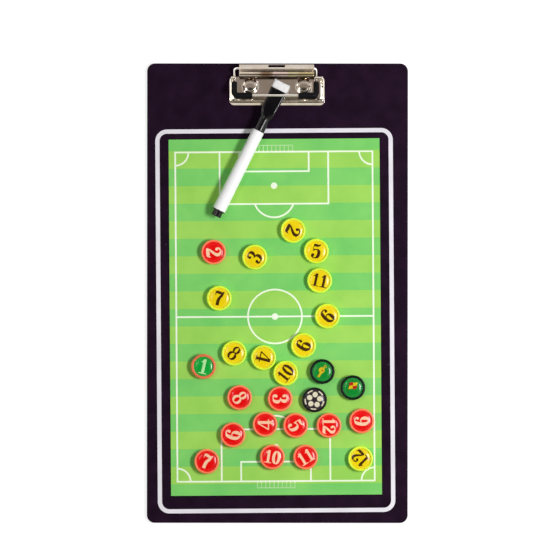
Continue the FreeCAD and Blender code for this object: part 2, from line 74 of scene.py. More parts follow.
def makePiece(name, body, patches, finishes, replaced=(), crease=38):
    # patches become one mesh: doubles merged, faces outwards, edges past the crease angle kept sharp
    points, faces, marks, start = [], [], [], 0
    for xyz, quads, mark in patches:
        points.append(xyz)
        faces += [[start + corner for corner in quad] for quad in quads]
        marks += [mark] * len(quads)
        start += len(xyz)
    mesh = bpy.data.meshes.new(name)
    mesh.from_pydata((np.vstack(points) * mm).tolist(), [], faces)
    mesh.polygons.foreach_set("material_index", marks)
    work = bmesh.new()
    work.from_mesh(mesh)
    bmesh.ops.remove_doubles(work, verts=work.verts, dist=1e-6)
    bmesh.ops.dissolve_degenerate(work, edges=work.edges, dist=1e-7)
    bmesh.ops.recalc_face_normals(work, faces=work.faces)
    work.to_mesh(mesh)
    work.free()
    for finish in finishes:
        mesh.materials.append(finish)
    mesh.shade_smooth()
    mesh.set_sharp_from_angle(angle=math.radians(crease))
    piece = bpy.data.objects.new(name, mesh)
    bpy.context.scene.collection.objects.link(piece)
    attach(piece, body)
    if replaced:
        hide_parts(*replaced)


def unit(vectors):
    return vectors / np.maximum(np.linalg.norm(vectors, axis=-1, keepdims=True), 1e-12)


def leftOf(heading):
    # a quarter turn to the left of each flat heading
    return np.stack([-heading[:, 1], heading[:, 0]], 1)


def circle(count):
    turn = np.linspace(0, 2 * np.pi, count, endpoint=False)
    return np.stack([np.cos(turn), np.sin(turn)], 1)


def raised(flat, height):
    # rings of flat points, each ring at its own height
    return np.concatenate([flat, np.broadcast_to(height[:, None, None], flat.shape[:2] + (1,))], -1)


def smoothStep(value, low, high):
    # 0 below low, 1 above high, and a cubic without corners between
    t = np.clip((value - low) / (high - low), 0, 1)
    return t * t * (3 - 2 * t)


def smoothLine(points, steps):
    # Catmull-Rom curve through the points, all spans at once, with the end points mirrored outwards
    p = np.asarray(points, float)
    p = np.vstack([2 * p[:1] - p[1:2], p, 2 * p[-1:] - p[-2:-1]])
    a, b, c, d = (p[i:len(p) - 3 + i, None] for i in range(4))
    t = np.linspace(0, 1, steps, endpoint=False)[None, :, None]
    line = 0.5 * (2 * b + (c - a) * t + (2 * a - 5 * b + 4 * c - d) * t**2 + (3 * b - a - 3 * c + d) * t**3)
    return np.vstack([line.reshape(-1, p.shape[1]), p[-2:-1]])


def bentLine(corners, radii, closed=False, steps=8):
    # straight runs joined by arcs: an arc's centre is on the corner's bisector, one radius from both runs
    p = np.asarray(corners, float)
    radius = np.asarray(radii, float)[:, None]
    back = unit(np.roll(p, 1, 0) - p)
    onward = unit(np.roll(p, -1, 0) - p)
    half = np.arccos(np.clip((back * onward).sum(1, keepdims=True), -0.999999, 0.999999)) / 2
    centre = p + unit(back + onward) * radius / np.sin(half)
    first = p + back * radius / np.tan(half) - centre
    last = p + onward * radius / np.tan(half) - centre
    sweep = (np.pi - 2 * half)[:, None]
    t = np.linspace(0, 1, steps)[None, :, None]
    arcs = (np.sin((1 - t) * sweep) * first[:, None] + np.sin(t * sweep) * last[:, None]) / np.sin(sweep)
    line = (centre[:, None] + arcs).reshape(-1, p.shape[1])
    keep = np.linalg.norm(line - np.roll(line, 1, 0), axis=1) > 1e-6
    keep[0] = keep[0] or not closed
    return line[keep]


def latheGrid(profile, x, y, around):
    # a profile of (radius, height) carried once round the upright axis at x, y
    radius, height = np.asarray(profile, float).T
    return raised(radius[:, None, None] * circle(around)[None] + [x, y], height)


def lyingGrid(profile, y, z, around):
    # a profile of (radius, place along X) carried once round the axis along X at y, z
    return latheGrid(profile, 0, 0, around)[..., [2, 0, 1]] + [0, y, z]


def lathePatch(corners, radii, x, y, around, steps=6, finish=0):
    # the profile starts and ends on the axis, where its poles close
    return gridPatch(latheGrid(bentLine(corners, radii, steps=steps), x, y, around), finish=finish)


def tubeGrid(path, radii, around):
    # rings square to the path: along the part of the upright that is square to it, and across that
    tangent = unit(np.gradient(path, axis=0))
    normal = unit(np.array([0.0, 0.0, 1.0]) - tangent[:, 2:] * tangent)
    side = np.cross(tangent, normal)
    c, s = circle(around).T[:, None, :, None]
    radii = np.broadcast_to(np.asarray(radii, float), len(path))[:, None, None]
    return path[:, None] + radii * (c * normal[:, None] + s * side[:, None])


def loopsAt(halfX, halfY, radius, insets, steps):
    # round-cornered rectangles: corner centre, plus what each inset leaves of the radius along the heading
    heading = (np.arange(4)[:, None] * np.pi / 2 + np.linspace(0, np.pi / 2, steps)[None]).ravel()
    corner = np.repeat([[1, 1], [-1, 1], [-1, -1], [1, -1]], steps, 0) * [halfX - radius, halfY - radius]
    outward = np.stack([np.cos(heading), np.sin(heading)], 1)
    return corner[None] + (radius - np.asarray(insets, float))[:, None, None] * outward[None]


def slabGrid(outline, low, high, bevel):
    # a flat outline in Y and Z carried along X, drawn in by a quarter round of the bevel at both ends
    inward = leftOf(unit(np.roll(outline, -1, 0) - np.roll(outline, 1, 0)))
    turn = np.linspace(0, np.pi / 2, 4)
    falling, rising = bevel * (1 - np.sin(turn)), bevel * (1 - np.cos(turn))
    flat = outline[None] + np.concatenate([falling, rising])[:, None, None] * inward[None]
    return raised(flat, np.concatenate([low + rising, high - falling]))[..., [2, 0, 1]]


# shader tools

def addNode(tree, kind, sockets=None, **settings):
    made = tree.nodes.new("ShaderNode" + kind)
    for key, value in settings.items():
        setattr(made, key, value)
    for key, value in (sockets or {}).items():
        if isinstance(value, bpy.types.NodeSocket):
            tree.links.new(value, made.inputs[key])
        else:
            made.inputs[key].default_value = value
    return made


def maths(tree, operation, *values, clamp=False):
    return addNode(tree, "Math", dict(enumerate(values)), operation=operation, use_clamp=clamp).outputs[0]


def mixColour(tree, factor, first, second):
    return addNode(tree, "Mix", {0: factor, 6: first, 7: second}, data_type="RGBA").outputs[2]


def mapRange(tree, value, low, high, toLow=0.0, toHigh=1.0):
    sockets = {0: value, 1: low, 2: high, 3: toLow, 4: toHigh}
    return addNode(tree, "MapRange", sockets, interpolation_type="SMOOTHSTEP").outputs[0]


def noise(tree, vector, scale, detail, distortion=0.0):
    sockets = {"Vector": vector, "Scale": scale, "Detail": detail, "Distortion": distortion}
    return addNode(tree, "TexNoise", sockets).outputs[0]


def newGroup(name, inputs, outputs):
    group = bpy.data.node_groups.new(name, "ShaderNodeTree")
    for label, value in inputs.items():
        kind = "NodeSocketVector" if label == "Vector" else "NodeSocketFloat"
        socket = group.interface.new_socket(name=label, in_out="INPUT", socket_type=kind)
        if value is not None:
            socket.default_value = value
    for label in outputs:
        group.interface.new_socket(name=label, in_out="OUTPUT", socket_type="NodeSocketFloat")
    return group, group.nodes.new("NodeGroupInput").outputs, group.nodes.new("NodeGroupOutput").inputs


def putOutMask(group, given, out, first, second):
    both = maths(group, "MULTIPLY", first, second)
    group.links.new(maths(group, "MULTIPLY", both, given["Amount"], clamp=True), out["Mask"])
    return group


def makeGrainGroup():
    # Height: fine even grain. Tone: broad cloudy patches about 20 grains wide
    group, given, out = newGroup("fineGrain", {"Vector": None, "Scale": 900.0}, ("Height", "Tone"))
    broadScale = maths(group, "MULTIPLY", given["Scale"], 0.05)
    group.links.new(noise(group, given["Vector"], given["Scale"], 3.0), out["Height"])
    group.links.new(noise(group, given["Vector"], broadScale, 4.0), out["Tone"])
    return group


def makeScratchGroup():
    # thin lines where noise, stretched along two slanted directions, crosses its middle value
    inputs = {"Vector": None, "Scale": 60.0, "Width": 0.006, "Amount": 0.5}
    group, given, out = newGroup("fineScratches", inputs, ("Mask",))
    masks = []
    for turn in (0.5, -0.9):
        stretch = {"Vector": given["Vector"], "Rotation": (0.15, 0.1, turn), "Scale": (1.0, 0.06, 1.0)}
        streaks = noise(group, addNode(group, "Mapping", stretch).outputs[0], given["Scale"], 1.0)
        offset = maths(group, "ABSOLUTE", maths(group, "SUBTRACT", streaks, 0.5))
        masks.append(mapRange(group, offset, 0.0, given["Width"], 1.0, 0.0))
    share = mapRange(group, noise(group, given["Vector"], 35.0, 2.0), 0.42, 0.68)
    return putOutMask(group, given, out, maths(group, "MAXIMUM", *masks), share)


def makeDustGroup():
    # specks: small round spots in some of the cells of a Voronoi pattern
    inputs = {"Vector": None, "Scale": 160.0, "Size": 0.07, "Amount": 0.5}
    group, given, out = newGroup("dustSpecks", inputs, ("Mask",))
    cells = addNode(group, "TexVoronoi", {"Vector": given["Vector"], "Scale": given["Scale"]})
    spot = mapRange(group, cells.outputs["Distance"], 0.0, given["Size"], 1.0, 0.0)
    chosen = addNode(group, "SeparateColor", {0: cells.outputs["Color"]}).outputs[0]
    return putOutMask(group, given, out, spot, mapRange(group, chosen, 0.62, 0.95))


def makeWearGroup():
    # edges that rub: where the mesh is convex, broken up by noise
    inputs = {"Vector": None, "Start": 0.52, "End": 0.62, "Amount": 0.5}
    group, given, out = newGroup("rubbedEdges", inputs, ("Mask",))
    convex = addNode(group, "NewGeometry").outputs["Pointiness"]
    edge = mapRange(group, convex, given["Start"], given["End"])
    return putOutMask(group, given, out, edge, mapRange(group, noise(group, given["Vector"], 700.0, 3.0), 0.35, 0.65))


grainGroup = makeGrainGroup()
scratchGroup = makeScratchGroup()
dustGroup = makeDustGroup()
wearGroup = makeWearGroup()


def newFinish(name):
    finish = bpy.data.materials.new(name)
    finish.use_nodes = True
    tree = finish.node_tree
    return finish, tree, tree.nodes["Principled BSDF"], addNode(tree, "TexCoord").outputs["Object"]


def useGroup(tree, group, spot, **values):
    made = tree.nodes.new("ShaderNodeGroup")
    made.node_tree = group
    tree.links.new(spot, made.inputs["Vector"])
    for key, value in values.items():
        made.inputs[key].default_value = value
    return made.outputs


def bandMask(tree, value, low, high, soft):
    # 1 between two places in millimetres, and soft by the given distance to either side of both
    up = mapRange(tree, value, (low - soft) * mm, (low + soft) * mm)
    down = mapRange(tree, value, (high - soft) * mm, (high + soft) * mm, 1.0, 0.0)
    return maths(tree, "MULTIPLY", up, down)


def linkRoughness(tree, shader, base, tone, vary, marks, dull):
    # a base that rises with the tone, and marks that are duller
    rough = maths(tree, "MULTIPLY_ADD", tone, vary, base)
    rough = maths(tree, "ADD", rough, maths(tree, "MULTIPLY", marks, dull), clamp=True)
    tree.links.new(rough, shader.inputs["Roughness"])


def linkBump(tree, shader, height, strength, distance, **onto):
    bump = addNode(tree, "Bump", {"Height": height, "Strength": strength, "Distance": distance, **onto})
    tree.links.new(bump.outputs[0], shader.inputs["Normal"])


def colour(red, green, blue):
    # written as seen on a screen, 0 to 255, and turned into the linear values that sockets hold
    s = np.array([red, green, blue]) / 255
    linear = np.where(s <= 0.04045, s / 12.92, ((s + 0.055) / 1.055) ** 2.4)
    return (*linear.tolist(), 1.0)


def shaded(base, factor):
    return (*[min(1.0, channel * factor) for channel in base[:3]], 1.0)


plainPlastic = {"grain": 1500.0, "vary": 0.06, "bump": 0.06, "shine": 0.5, "scratches": 0.25, "scratchScale": 90.0,
                "dust": 0.2, "dustScale": 260.0, "dustColour": colour(200, 196, 190)}


def plasticFinish(name, look):
    # moulded plastic: cloudy tone, fine grain in the bump, scratches and dust that dull the gloss
    s = SimpleNamespace(**{**plainPlastic, **look})
    finish, tree, shader, spot = newFinish(name)
    grain = useGroup(tree, grainGroup, spot, Scale=s.grain)
    lines = useGroup(tree, scratchGroup, spot, Scale=s.scratchScale, Width=0.004, Amount=s.scratches)["Mask"]
    specks = useGroup(tree, dustGroup, spot, Scale=s.dustScale, Size=0.09, Amount=s.dust)["Mask"]
    tone = mapRange(tree, grain["Tone"], 0.3, 0.7)
    base = mixColour(tree, tone, shaded(s.colour, 1 - s.vary), shaded(s.colour, 1 + s.vary))
    tree.links.new(mixColour(tree, specks, base, s.dustColour), shader.inputs["Base Color"])
    linkRoughness(tree, shader, s.rough, tone, vary=0.08, marks=maths(tree, "MAXIMUM", lines, specks), dull=0.3)
    linkBump(tree, shader, maths(tree, "SUBTRACT", grain["Height"], lines), s.bump, distance=0.0002)
    shader.inputs["IOR"].default_value = 1.46
    shader.inputs["Specular IOR Level"].default_value = s.shine
    return finish


def nickelFinish(name, look):
    # bright plated steel: warm tint that drifts, rolling grain, scratches and rubbed edges
    finish, tree, shader, spot = newFinish(name)
    stretched = addNode(tree, "Mapping", {"Vector": spot, "Scale": (0.08, 1.0, 1.0)}).outputs[0]
    grain = useGroup(tree, grainGroup, stretched, Scale=2600.0)["Height"]
    drift = useGroup(tree, grainGroup, spot, Scale=2200.0)["Tone"]
    lines = useGroup(tree, scratchGroup, spot, Scale=110.0, Width=0.003, Amount=0.25)["Mask"]
    rubbed = useGroup(tree, wearGroup, spot, Start=0.53, End=0.64, Amount=0.15)["Mask"]
    base = mixColour(tree, mapRange(tree, drift, 0.35, 0.65), look["colour"], look["tint"])
    base = mixColour(tree, rubbed, base, look["bright"])
    place = addNode(tree, "SeparateXYZ", {0: spot}).outputs
    for mark in look.get("marks", ()):
        # a band of colour across X, Y or both, used here mostly for painted shade and painted reflections; where thin
        # is below 1 it is patchy and follows the drift
        mask = mapRange(tree, drift, 0.3, 0.7, mark.get("thin", 1.0), 1.0)
        for axis in ("X", "Y"):
            if axis in mark:
                mask = maths(tree, "MULTIPLY", mask, bandMask(tree, place[axis], *mark[axis]))
        base = mixColour(tree, mask, base, mark["colour"])
    tree.links.new(base, shader.inputs["Base Color"])
    shader.inputs["Metallic"].default_value = 1.0
    linkRoughness(tree, shader, look["rough"], mapRange(tree, drift, 0.3, 0.7), vary=0.05, marks=lines, dull=0.15)
    # the lean is the slope of a surface that was pressed not quite level
    slope = maths(tree, "MULTIPLY", place["Y"], -look.get("lean", 0.0))
    lean = addNode(tree, "Bump", {"Height": slope, "Distance": 1.0}).outputs[0]
    height = maths(tree, "SUBTRACT", maths(tree, "MULTIPLY", grain, 0.4), lines)
    linkBump(tree, shader, height, look["bump"], distance=0.0001, Normal=lean)
    return finish


def printFinish(name, low, high, rough, mottle, net=None):
    # ink under clear film: dye mottling, a fine screen of ink dots, faint handling marks in the gloss
    finish, tree, shader, spot = newFinish(name)
    grain = useGroup(tree, grainGroup, spot, Scale=mottle)
    cloud = mapRange(tree, useGroup(tree, grainGroup, spot, Scale=220.0)["Tone"], 0.3, 0.7)
    lines = useGroup(tree, scratchGroup, spot, Scale=45.0, Width=0.003, Amount=0.35)["Mask"]
    tone = mapRange(tree, grain["Tone"], 0.25, 0.75)
    tone = maths(tree, "MULTIPLY_ADD", tone, 0.6, maths(tree, "MULTIPLY", cloud, 0.4))
    dots = addNode(tree, "TexVoronoi", {"Vector": spot, "Scale": 2400.0}).outputs["Distance"]
    dots = maths(tree, "MULTIPLY", maths(tree, "SUBTRACT", dots, 0.45), 0.25)
    base = mixColour(tree, maths(tree, "ADD", tone, dots, clamp=True), low, high)
    if net:
        # the nets lie beyond the goal lines, and are printed in a paler tint than the lines
        along = addNode(tree, "SeparateXYZ", {0: spot}).outputs["Y"]
        away = maths(tree, "ABSOLUTE", maths(tree, "SUBTRACT", along, net["middle"] * mm))
        inNet = maths(tree, "GREATER_THAN", away, net["outside"] * mm)
        tint = useGroup(tree, grainGroup, spot, Scale=1400.0)["Tone"]
        base = mixColour(tree, inNet, base, mixColour(tree, tint, net["low"], net["high"]))
    tree.links.new(base, shader.inputs["Base Color"])
    linkRoughness(tree, shader, rough, cloud, vary=0.1, marks=lines, dull=0.2)
    linkBump(tree, shader, grain["Height"], strength=0.05, distance=0.0001)
    shader.inputs["Specular IOR Level"].default_value = 0.05
    return finish


def dressNode(node, finish):
    slots = frame["nodes"][node].data.materials
    slots.clear()
    slots.append(finish)


print("shader groups:", len(bpy.data.node_groups))


# board: black film cover turned down round the edge, with the print on it

coverShape = {"corner": 7.0, "wall": 0.5, "skin": 0.25, "topRound": 0.8, "footRound": 0.2, "innerRound": 0.1,
              "flatFrom": 3.0}
coverLook = {"colour": colour(31, 15, 33), "rough": 0.5, "grain": 1400.0, "vary": 0.22, "bump": 0.1, "shine": 0.03,
             "dust": 0.35, "dustScale": 110.0, "scratches": 0.4, "scratchScale": 50.0,
             "dustColour": colour(120, 110, 118)}


def makeCover():
    # a profile of inset and height carried round the round-cornered outline, closed flat above and inside
    s = SimpleNamespace(**coverShape)
    low, high = nodeBox("front_cover")
    half, middle = (high - low) / 2, (high + low) / 2
    inside = high[2] - s.skin
    corners = [(s.flatFrom, inside), (s.wall, inside), (s.wall, low[2]), (0.0, low[2]), (0.0, high[2]),
               (s.flatFrom, high[2])]
    inset, height = bentLine(corners, [0, s.innerRound, s.innerRound, s.footRound, s.topRound, 0], steps=7).T
    rings = raised(loopsAt(half[0], half[1], s.corner, inset, 14) + middle[:2], height)
    film = plasticFinish("cover_film", coverLook)
    makePiece("board_cover", "board", [gridPatch(rings, caps="both")], [film], ["front_cover"])


makeCover()

linerLook = {"colour": colour(34, 31, 33), "rough": 0.55, "grain": 1100.0, "vary": 0.2, "bump": 0.18,
             "dust": 0.4, "dustScale": 130.0, "scratches": 0.35, "dustColour": colour(130, 124, 120)}
hardboardLook = {"colour": colour(116, 78, 48), "rough": 0.75, "grain": 2200.0, "vary": 0.3, "bump": 0.3,
                 "scratches": 0.0}
nickelLook = {"colour": colour(238, 231, 221), "tint": colour(228, 219, 204), "bright": colour(248, 246, 242),
              "rough": 0.08, "bump": 0.02}
# marks: from, to and softness of each band in millimetres
# painted shade: a darker band on the tray floor under the jaw's front bar, standing in for the bar's shadow and
# mirrored image
trayPaintedShadeBand = [{"X": (-32.5, 32.5, 1.5), "Y": (174.4, 176.6, 0.3), "thin": 0.7, "colour": colour(138, 128, 112)}]
# across the roll: a dark band and a pale band are painted reflections of the black cap and the white felt block before
# it, then olive and yellowish tints towards the right end
rollPaintedBands = [{"X": (-16.0, -4.5, 4.0), "colour": colour(140, 114, 94)},
             {"X": (-3.8, 9.2, 0.9), "colour": colour(226, 208, 203)},
             {"X": (9.2, 18.5, 1.2), "colour": colour(208, 202, 166)},
             {"X": (18.5, 40.0, 2.0), "colour": colour(192, 180, 142)},
             {"Y": (0.0, 195.25, 0.55), "colour": colour(80, 64, 54)}]      # painted shade along the roll's lower front edge
steelLook = {"colour": colour(168, 170, 174), "tint": colour(150, 150, 152), "bright": colour(210, 212, 214),
             "rough": 0.3, "bump": 0.2}
wireLook = dict(nickelLook, colour=colour(252, 250, 246), tint=colour(246, 243, 237), rough=0.26)
trayLook = dict(nickelLook, lean=0.12, marks=trayPaintedShadeBand)
# painted shade: the roll's own nickel is set a little darker than the rest of the lever
rollLook = dict(nickelLook, colour=colour(218, 209, 197), tint=colour(207, 196, 180), marks=rollPaintedBands)
nickel = nickelFinish("bright_nickel", nickelLook)
wireNickel = nickelFinish("drawn_wire", wireLook)
trayNickel = nickelFinish("pressed_nickel_painted_shade", trayLook)
rollNickel = nickelFinish("rolled_nickel_painted_reflections", rollLook)
dressNode("back_liner", plasticFinish("liner_film", linerLook))
dressNode("core_panel", plasticFinish("hardboard_core", hardboardLook))
dressNode("steel_sheet", nickelFinish("sheet_steel", steelLook))
dressNode("rivet_washers", nickel)

printRough, printMottle = 0.34, 900.0
printTints = {
    "border_print": (colour(221, 218, 226), colour(235, 233, 240)),
    "pitch_print": (colour(113, 200, 103), colour(133, 212, 109)),
    "pitch_bands": (colour(147, 207, 89), colour(163, 218, 98)),
    "pitch_markings": (colour(230, 246, 216), colour(245, 253, 236)),
}
netLook = {"low": colour(166, 216, 144), "high": colour(186, 228, 164), "outside": 149.6}


def dressPrint():
    low, high = nodeBox("pitch_markings")
    nets = {"pitch_markings": dict(netLook, middle=float(low[1] + high[1]) / 2)}
    for node, tints in printTints.items():
        dressNode(node, printFinish(node + "_ink", *tints, printRough, printMottle, nets.get(node)))


dressPrint()
print("board and print dressed")


# clip: pressed tray with ears, two rivets, wire jaw with sleeves, rolled lever

trayShape = {
    "middle": -0.5, "halfWidth": 42.7, "front": 169.2, "rear": 195.0, "corner": 4.0, "foot": 3.3, "floor": 4.1,
    "rimTop": 5.7, "rimWidth": 3.7, "rampFoot": 0.15, "floorCorner": 3.0, "crest": 1.0, "bevelDrop": 0.65,
    "flank": (34.0, 37.5), "flankFront": (0.5, 4.0), "ridge": 3.2, "ridgeClimb": 0.7, "dropWidth": 1.3,
    "gutter": 0.2, "gutterReach": (-2.4, 0.3), "shelfLeft": -35.4, "shelfRight": 30.6, "shelfRise": 0.12,
    "shelfWidth": 0.8, "shelfFade": (1.0, 4.0), "shelfEnd": (188.5, 191.0),
    "lip": 2.4, "lipRound": 0.3, "lipTilt": 0.5, "lipPivot": 0.4, "lipLimits": (-0.45, 0.7), "lipJoin": (-0.2, 0.4),
    "rivetSpan": 24.1, "rivetY": 186.6, "bossInner": 4.9, "bossOuter": (8.0, 6.8), "bossHeight": 0.6,
    "bossGroove": 0.25, "grooveWidth": 1.3, "pipSpan": 23.5, "pipShift": (1.1, 1.0), "pipRadius": 1.1,
    "fine": 0.15, "coarse": 0.21, "fineReach": 7.5, "fineRear": 0.5}
earShape = {"length": 3.2, "inset": 2.6, "foot": 4.9, "bevel": 0.25, "footRound": 0.1, "topShare": 0.98,
            "lugRadius": 1.4, "lugRound": 0.35, "lugOverlap": 1.5}
hingeY, hingeZ = 193.7, 7.9
wireRadius = 1.0
jawLow, jawHigh = nodeBox("jaw_wire")
jawLeft, jawRight = jawLow[0] + wireRadius, jawHigh[0] - wireRadius


def boxDistance(x, y, halfX, low, radius):
    # distance outside a strip |x| < halfX, y > low whose two front corners are round; negative inside
    dx = np.abs(x) - (halfX - radius)
    dy = low + radius - y
    return np.hypot(np.maximum(dx, 0), np.maximum(dy, 0)) + np.minimum(np.maximum(dx, dy), 0) - radius


def roundCorners(x, y, halfX, halfY, radius):
    # squeezes each corner square of the grid onto a quarter disc: the larger side becomes the radius
    a = np.maximum(np.abs(x) - (halfX - radius), 0) / radius
    b = np.maximum(np.abs(y) - (halfY - radius), 0) / radius
    reach = np.maximum(a, b)
    angle = np.pi / 4 * np.minimum(a, b) / np.maximum(reach, 1e-9)
    angle = np.where(a >= b, angle, np.pi / 2 - angle)
    both = (a > 0) & (b > 0)
    newX = np.where(both, halfX - radius + radius * reach * np.cos(angle), np.abs(x))
    newY = np.where(both, halfY - radius + radius * reach * np.sin(angle), np.abs(y))
    return np.sign(x) * newX, np.sign(y) * newY


def spacedLines(half, fineLow, fineHigh, fine, coarse):
    # grid lines, close together within the fine reaches at the two ends
    ends = [-half, -half + fineLow, half - fineHigh, half]
    lengths = [fineLow, 2 * half - fineLow - fineHigh, fineHigh]
    counts = [max(1, round(length / step)) for length, step in zip(lengths, (fine, coarse, fine))]
    spans = [np.linspace(a, b, count, endpoint=False) for a, b, count in zip(ends, ends[1:], counts)]
    return np.concatenate(spans + [[half]])


def trayHeight(x, y):
    # floor, plus a rim: at the flanks it climbs by a ramp with a round foot and falls by a bevel, at the front it
    # rises and falls by S-curves; a low shelf and a gutter run along both sides of the floor, and the lip slopes down
    s = SimpleNamespace(**trayShape)
    ridgeFront = s.front + s.lip
    outside = boxDistance(x, y, s.halfWidth - s.rimWidth, ridgeFront + s.ridge, s.floorCorner)
    within = -boxDistance(x, y, s.halfWidth, ridgeFront, s.corner)
    flank = smoothStep(np.abs(x), *s.flank) * smoothStep(y - ridgeFront, *s.flankFront)
    share = np.clip(outside / np.maximum(outside + within - s.crest, 0.3), 0, 1)
    ramp = np.where(share < s.rampFoot, share**2 / (2 * s.rampFoot), share - s.rampFoot / 2) / (1 - s.rampFoot / 2)
    climb = (1 - flank) * smoothStep(share, 0.0, s.ridgeClimb) + flank * ramp
    bevel = s.bevelDrop / (s.rimTop - s.floor)
    fall = (1 - flank) * smoothStep(within, 0.0, s.dropWidth)
    fall = fall + flank * (1 - bevel * np.clip(1 - within / s.crest, 0, 1))
    shelf = smoothStep(s.shelfLeft - x, 0, s.shelfWidth) + smoothStep(x - s.shelfRight, 0, s.shelfWidth)
    shelf = shelf * smoothStep(within, *s.shelfFade) * (1 - smoothStep(y, *s.shelfEnd))
    floor = s.floor + s.shelfRise * shelf - s.gutter * flank * smoothStep(outside, *s.gutterReach)
    z = floor + (s.rimTop - floor) * climb * fall
    lip = np.clip(s.lipTilt * (y - s.front - s.lipPivot * s.lip), *s.lipLimits)
    z = z + lip * (1 - smoothStep(within, *s.lipJoin))
    for side in (-1, 1):
        # each boss falls gently to front and rear, and steeply into a groove to left and right
        fromMiddle = x - side * s.rivetSpan
        away = np.hypot(fromMiddle, y - s.rivetY)
        beside = (fromMiddle / np.maximum(away, 1e-6)) ** 2
        outer = s.bossOuter[0] + (s.bossOuter[1] - s.bossOuter[0]) * beside
        down = smoothStep(away, s.bossInner, outer)
        groove = s.bossGroove * beside * down * (1 - smoothStep(away, outer, outer + s.grooveWidth))
        z = z + s.bossHeight * (1 - down) - groove
    edge = -boxDistance(x, y, s.halfWidth, s.front, s.corner)
    soft = np.clip(1 - edge / s.lipRound, 0, 1)
    return z - s.lipRound * (1 - np.sqrt(1 - soft**2))


def makeTray():
    s, ear = SimpleNamespace(**trayShape), SimpleNamespace(**earShape)
    halfY = (s.rear - s.front) / 2
    acrossLines = spacedLines(s.halfWidth, s.fineReach, s.fineReach, s.fine, s.coarse)
    alongLines = spacedLines(halfY, s.fineReach, s.fineRear, s.fine, s.coarse)
    x, y = np.meshgrid(acrossLines, alongLines, indexing="ij")
    x, y = roundCorners(x, y, s.halfWidth, halfY, s.corner)
    y = y + (s.rear + s.front) / 2
    top = np.stack([x + s.middle, y, trayHeight(x, y)], -1)
    # the border goes straight down to the board, and one face closes the foot
    border = np.concatenate([top[:, 0], top[-1, 1:], top[-2::-1, -1], top[0, -2:0:-1]])
    foot = border * [1, 1, 0] + [0, 0, s.foot]
    patches = [gridPatch(top, wrapColumns=False), gridPatch(np.stack([border, foot]), caps="last")]
    # round pips on the front rim, and at each side an ear with a round top and a lug for the wire's bend
    turn = np.linspace(np.pi / 2, -0.6, 12)
    pip = np.stack([s.pipRadius * np.cos(turn), s.rimTop + s.pipRadius * np.sin(turn)], 1)
    pipY = s.front + s.lip + s.ridge / 2 + s.pipShift[1]
    half = ear.length / 2
    corners = [(hingeY - half, ear.foot), (hingeY + half, ear.foot), (hingeY + half, hingeZ + half),
               (hingeY - half, hingeZ + half)]
    radii = [ear.footRound, ear.footRound, half * ear.topShare, half * ear.topShare]
    stadium = bentLine(corners, radii, closed=True, steps=10)
    for side, wire in ((-1, jawLeft), (1, jawRight)):
        patches.append(gridPatch(latheGrid(pip, s.middle + side * s.pipSpan + s.pipShift[0], pipY, 32), caps="last"))
        rim, inner = (s.middle + side * (s.halfWidth - ear.inset * share) for share in (0.5, 1))
        patches.append(gridPatch(slabGrid(stadium, min(rim, inner), max(rim, inner), ear.bevel), caps="both"))
        low, high = sorted((wire - side * ear.lugOverlap, rim))
        lug = [(0, low), (ear.lugRadius, low), (ear.lugRadius, high), (0, high)]
        lug = bentLine(lug, [0, ear.lugRound, ear.lugRound, 0], steps=6)
        patches.append(gridPatch(lyingGrid(lug, hingeY, hingeZ, 40)))
    makePiece("clip_tray_pressed", "board", patches, [trayNickel], ["clip_tray"], crease=50)


rivetShape = {"headRadius": 4.7, "headHeight": 2.0, "swell": 0.45, "rollOff": 36, "seat": 4.7, "shank": 2.0,
              "tailRadius": 3.0, "tailTop": 0.9, "tailFoot": 0.3}


def makeRivets():
    # the head is a shallow parabola that rolls off at the edge, then come shank and upset tail, turned about the axis
    s = SimpleNamespace(**rivetShape)
    share = np.sin(np.linspace(0, np.pi / 2, 34))
    swell = s.swell * (1 - share**2) + (s.headHeight - s.swell) * np.sqrt(1 - share**s.rollOff)
    crown = np.stack([s.headRadius * share, s.seat + swell], 1)
    below = bentLine([(s.headRadius, s.seat), (s.shank, s.seat), (s.shank, s.tailTop), (s.tailRadius, s.tailTop),
                      (s.tailRadius, s.tailFoot), (0, s.tailFoot)], [0, 0.1, 0.1, 0.15, 0.25, 0])
    profile = np.vstack([crown, below[1:]])
    spots = [trayShape["middle"] + side * trayShape["rivetSpan"] for side in (-1, 1)]
    patches = [gridPatch(latheGrid(profile, x, trayShape["rivetY"], 72)) for x in spots]
    makePiece("clip_rivets_domed", "board", patches, [trayNickel], ["clip_rivets"], crease=45)


wireShape = {"rearReach": 8.6, "rearRise": 1.4, "jawReach": 15.8, "jawRise": 10.7, "bend": 2.5, "rearCorner": 2.4,
             "jawCorner": 4.0, "gap": 0.5}
sleeveShape = {"radius": 2.59, "bore": 1.05, "barLength": 16.2, "lugGap": 4.3, "lipRound": 0.45}
sleeveLook = {"colour": colour(9, 9, 12), "rough": 0.5, "grain": 1700.0, "vary": 0.25, "bump": 0.15, "shine": 0.1,
              "dustScale": 300.0, "scratches": 0.2, "dustColour": colour(70, 68, 68)}


def legLine():
    # the leg's lowest corner, where the two lines that touch the bend round the lug meet, in Y and Z from the hinge
    s = SimpleNamespace(**wireShape)

    def slope(reach, rise):
        return math.tan(math.atan2(rise, reach) + math.asin(s.bend / math.hypot(reach, rise)))

    front, rear = slope(s.jawReach, s.jawRise), slope(s.rearReach, s.rearRise)
    y = (s.jawRise - s.rearRise - front * s.jawReach + rear * s.rearReach) / (front + rear)
    return y, s.jawRise - front * (y + s.jawReach)


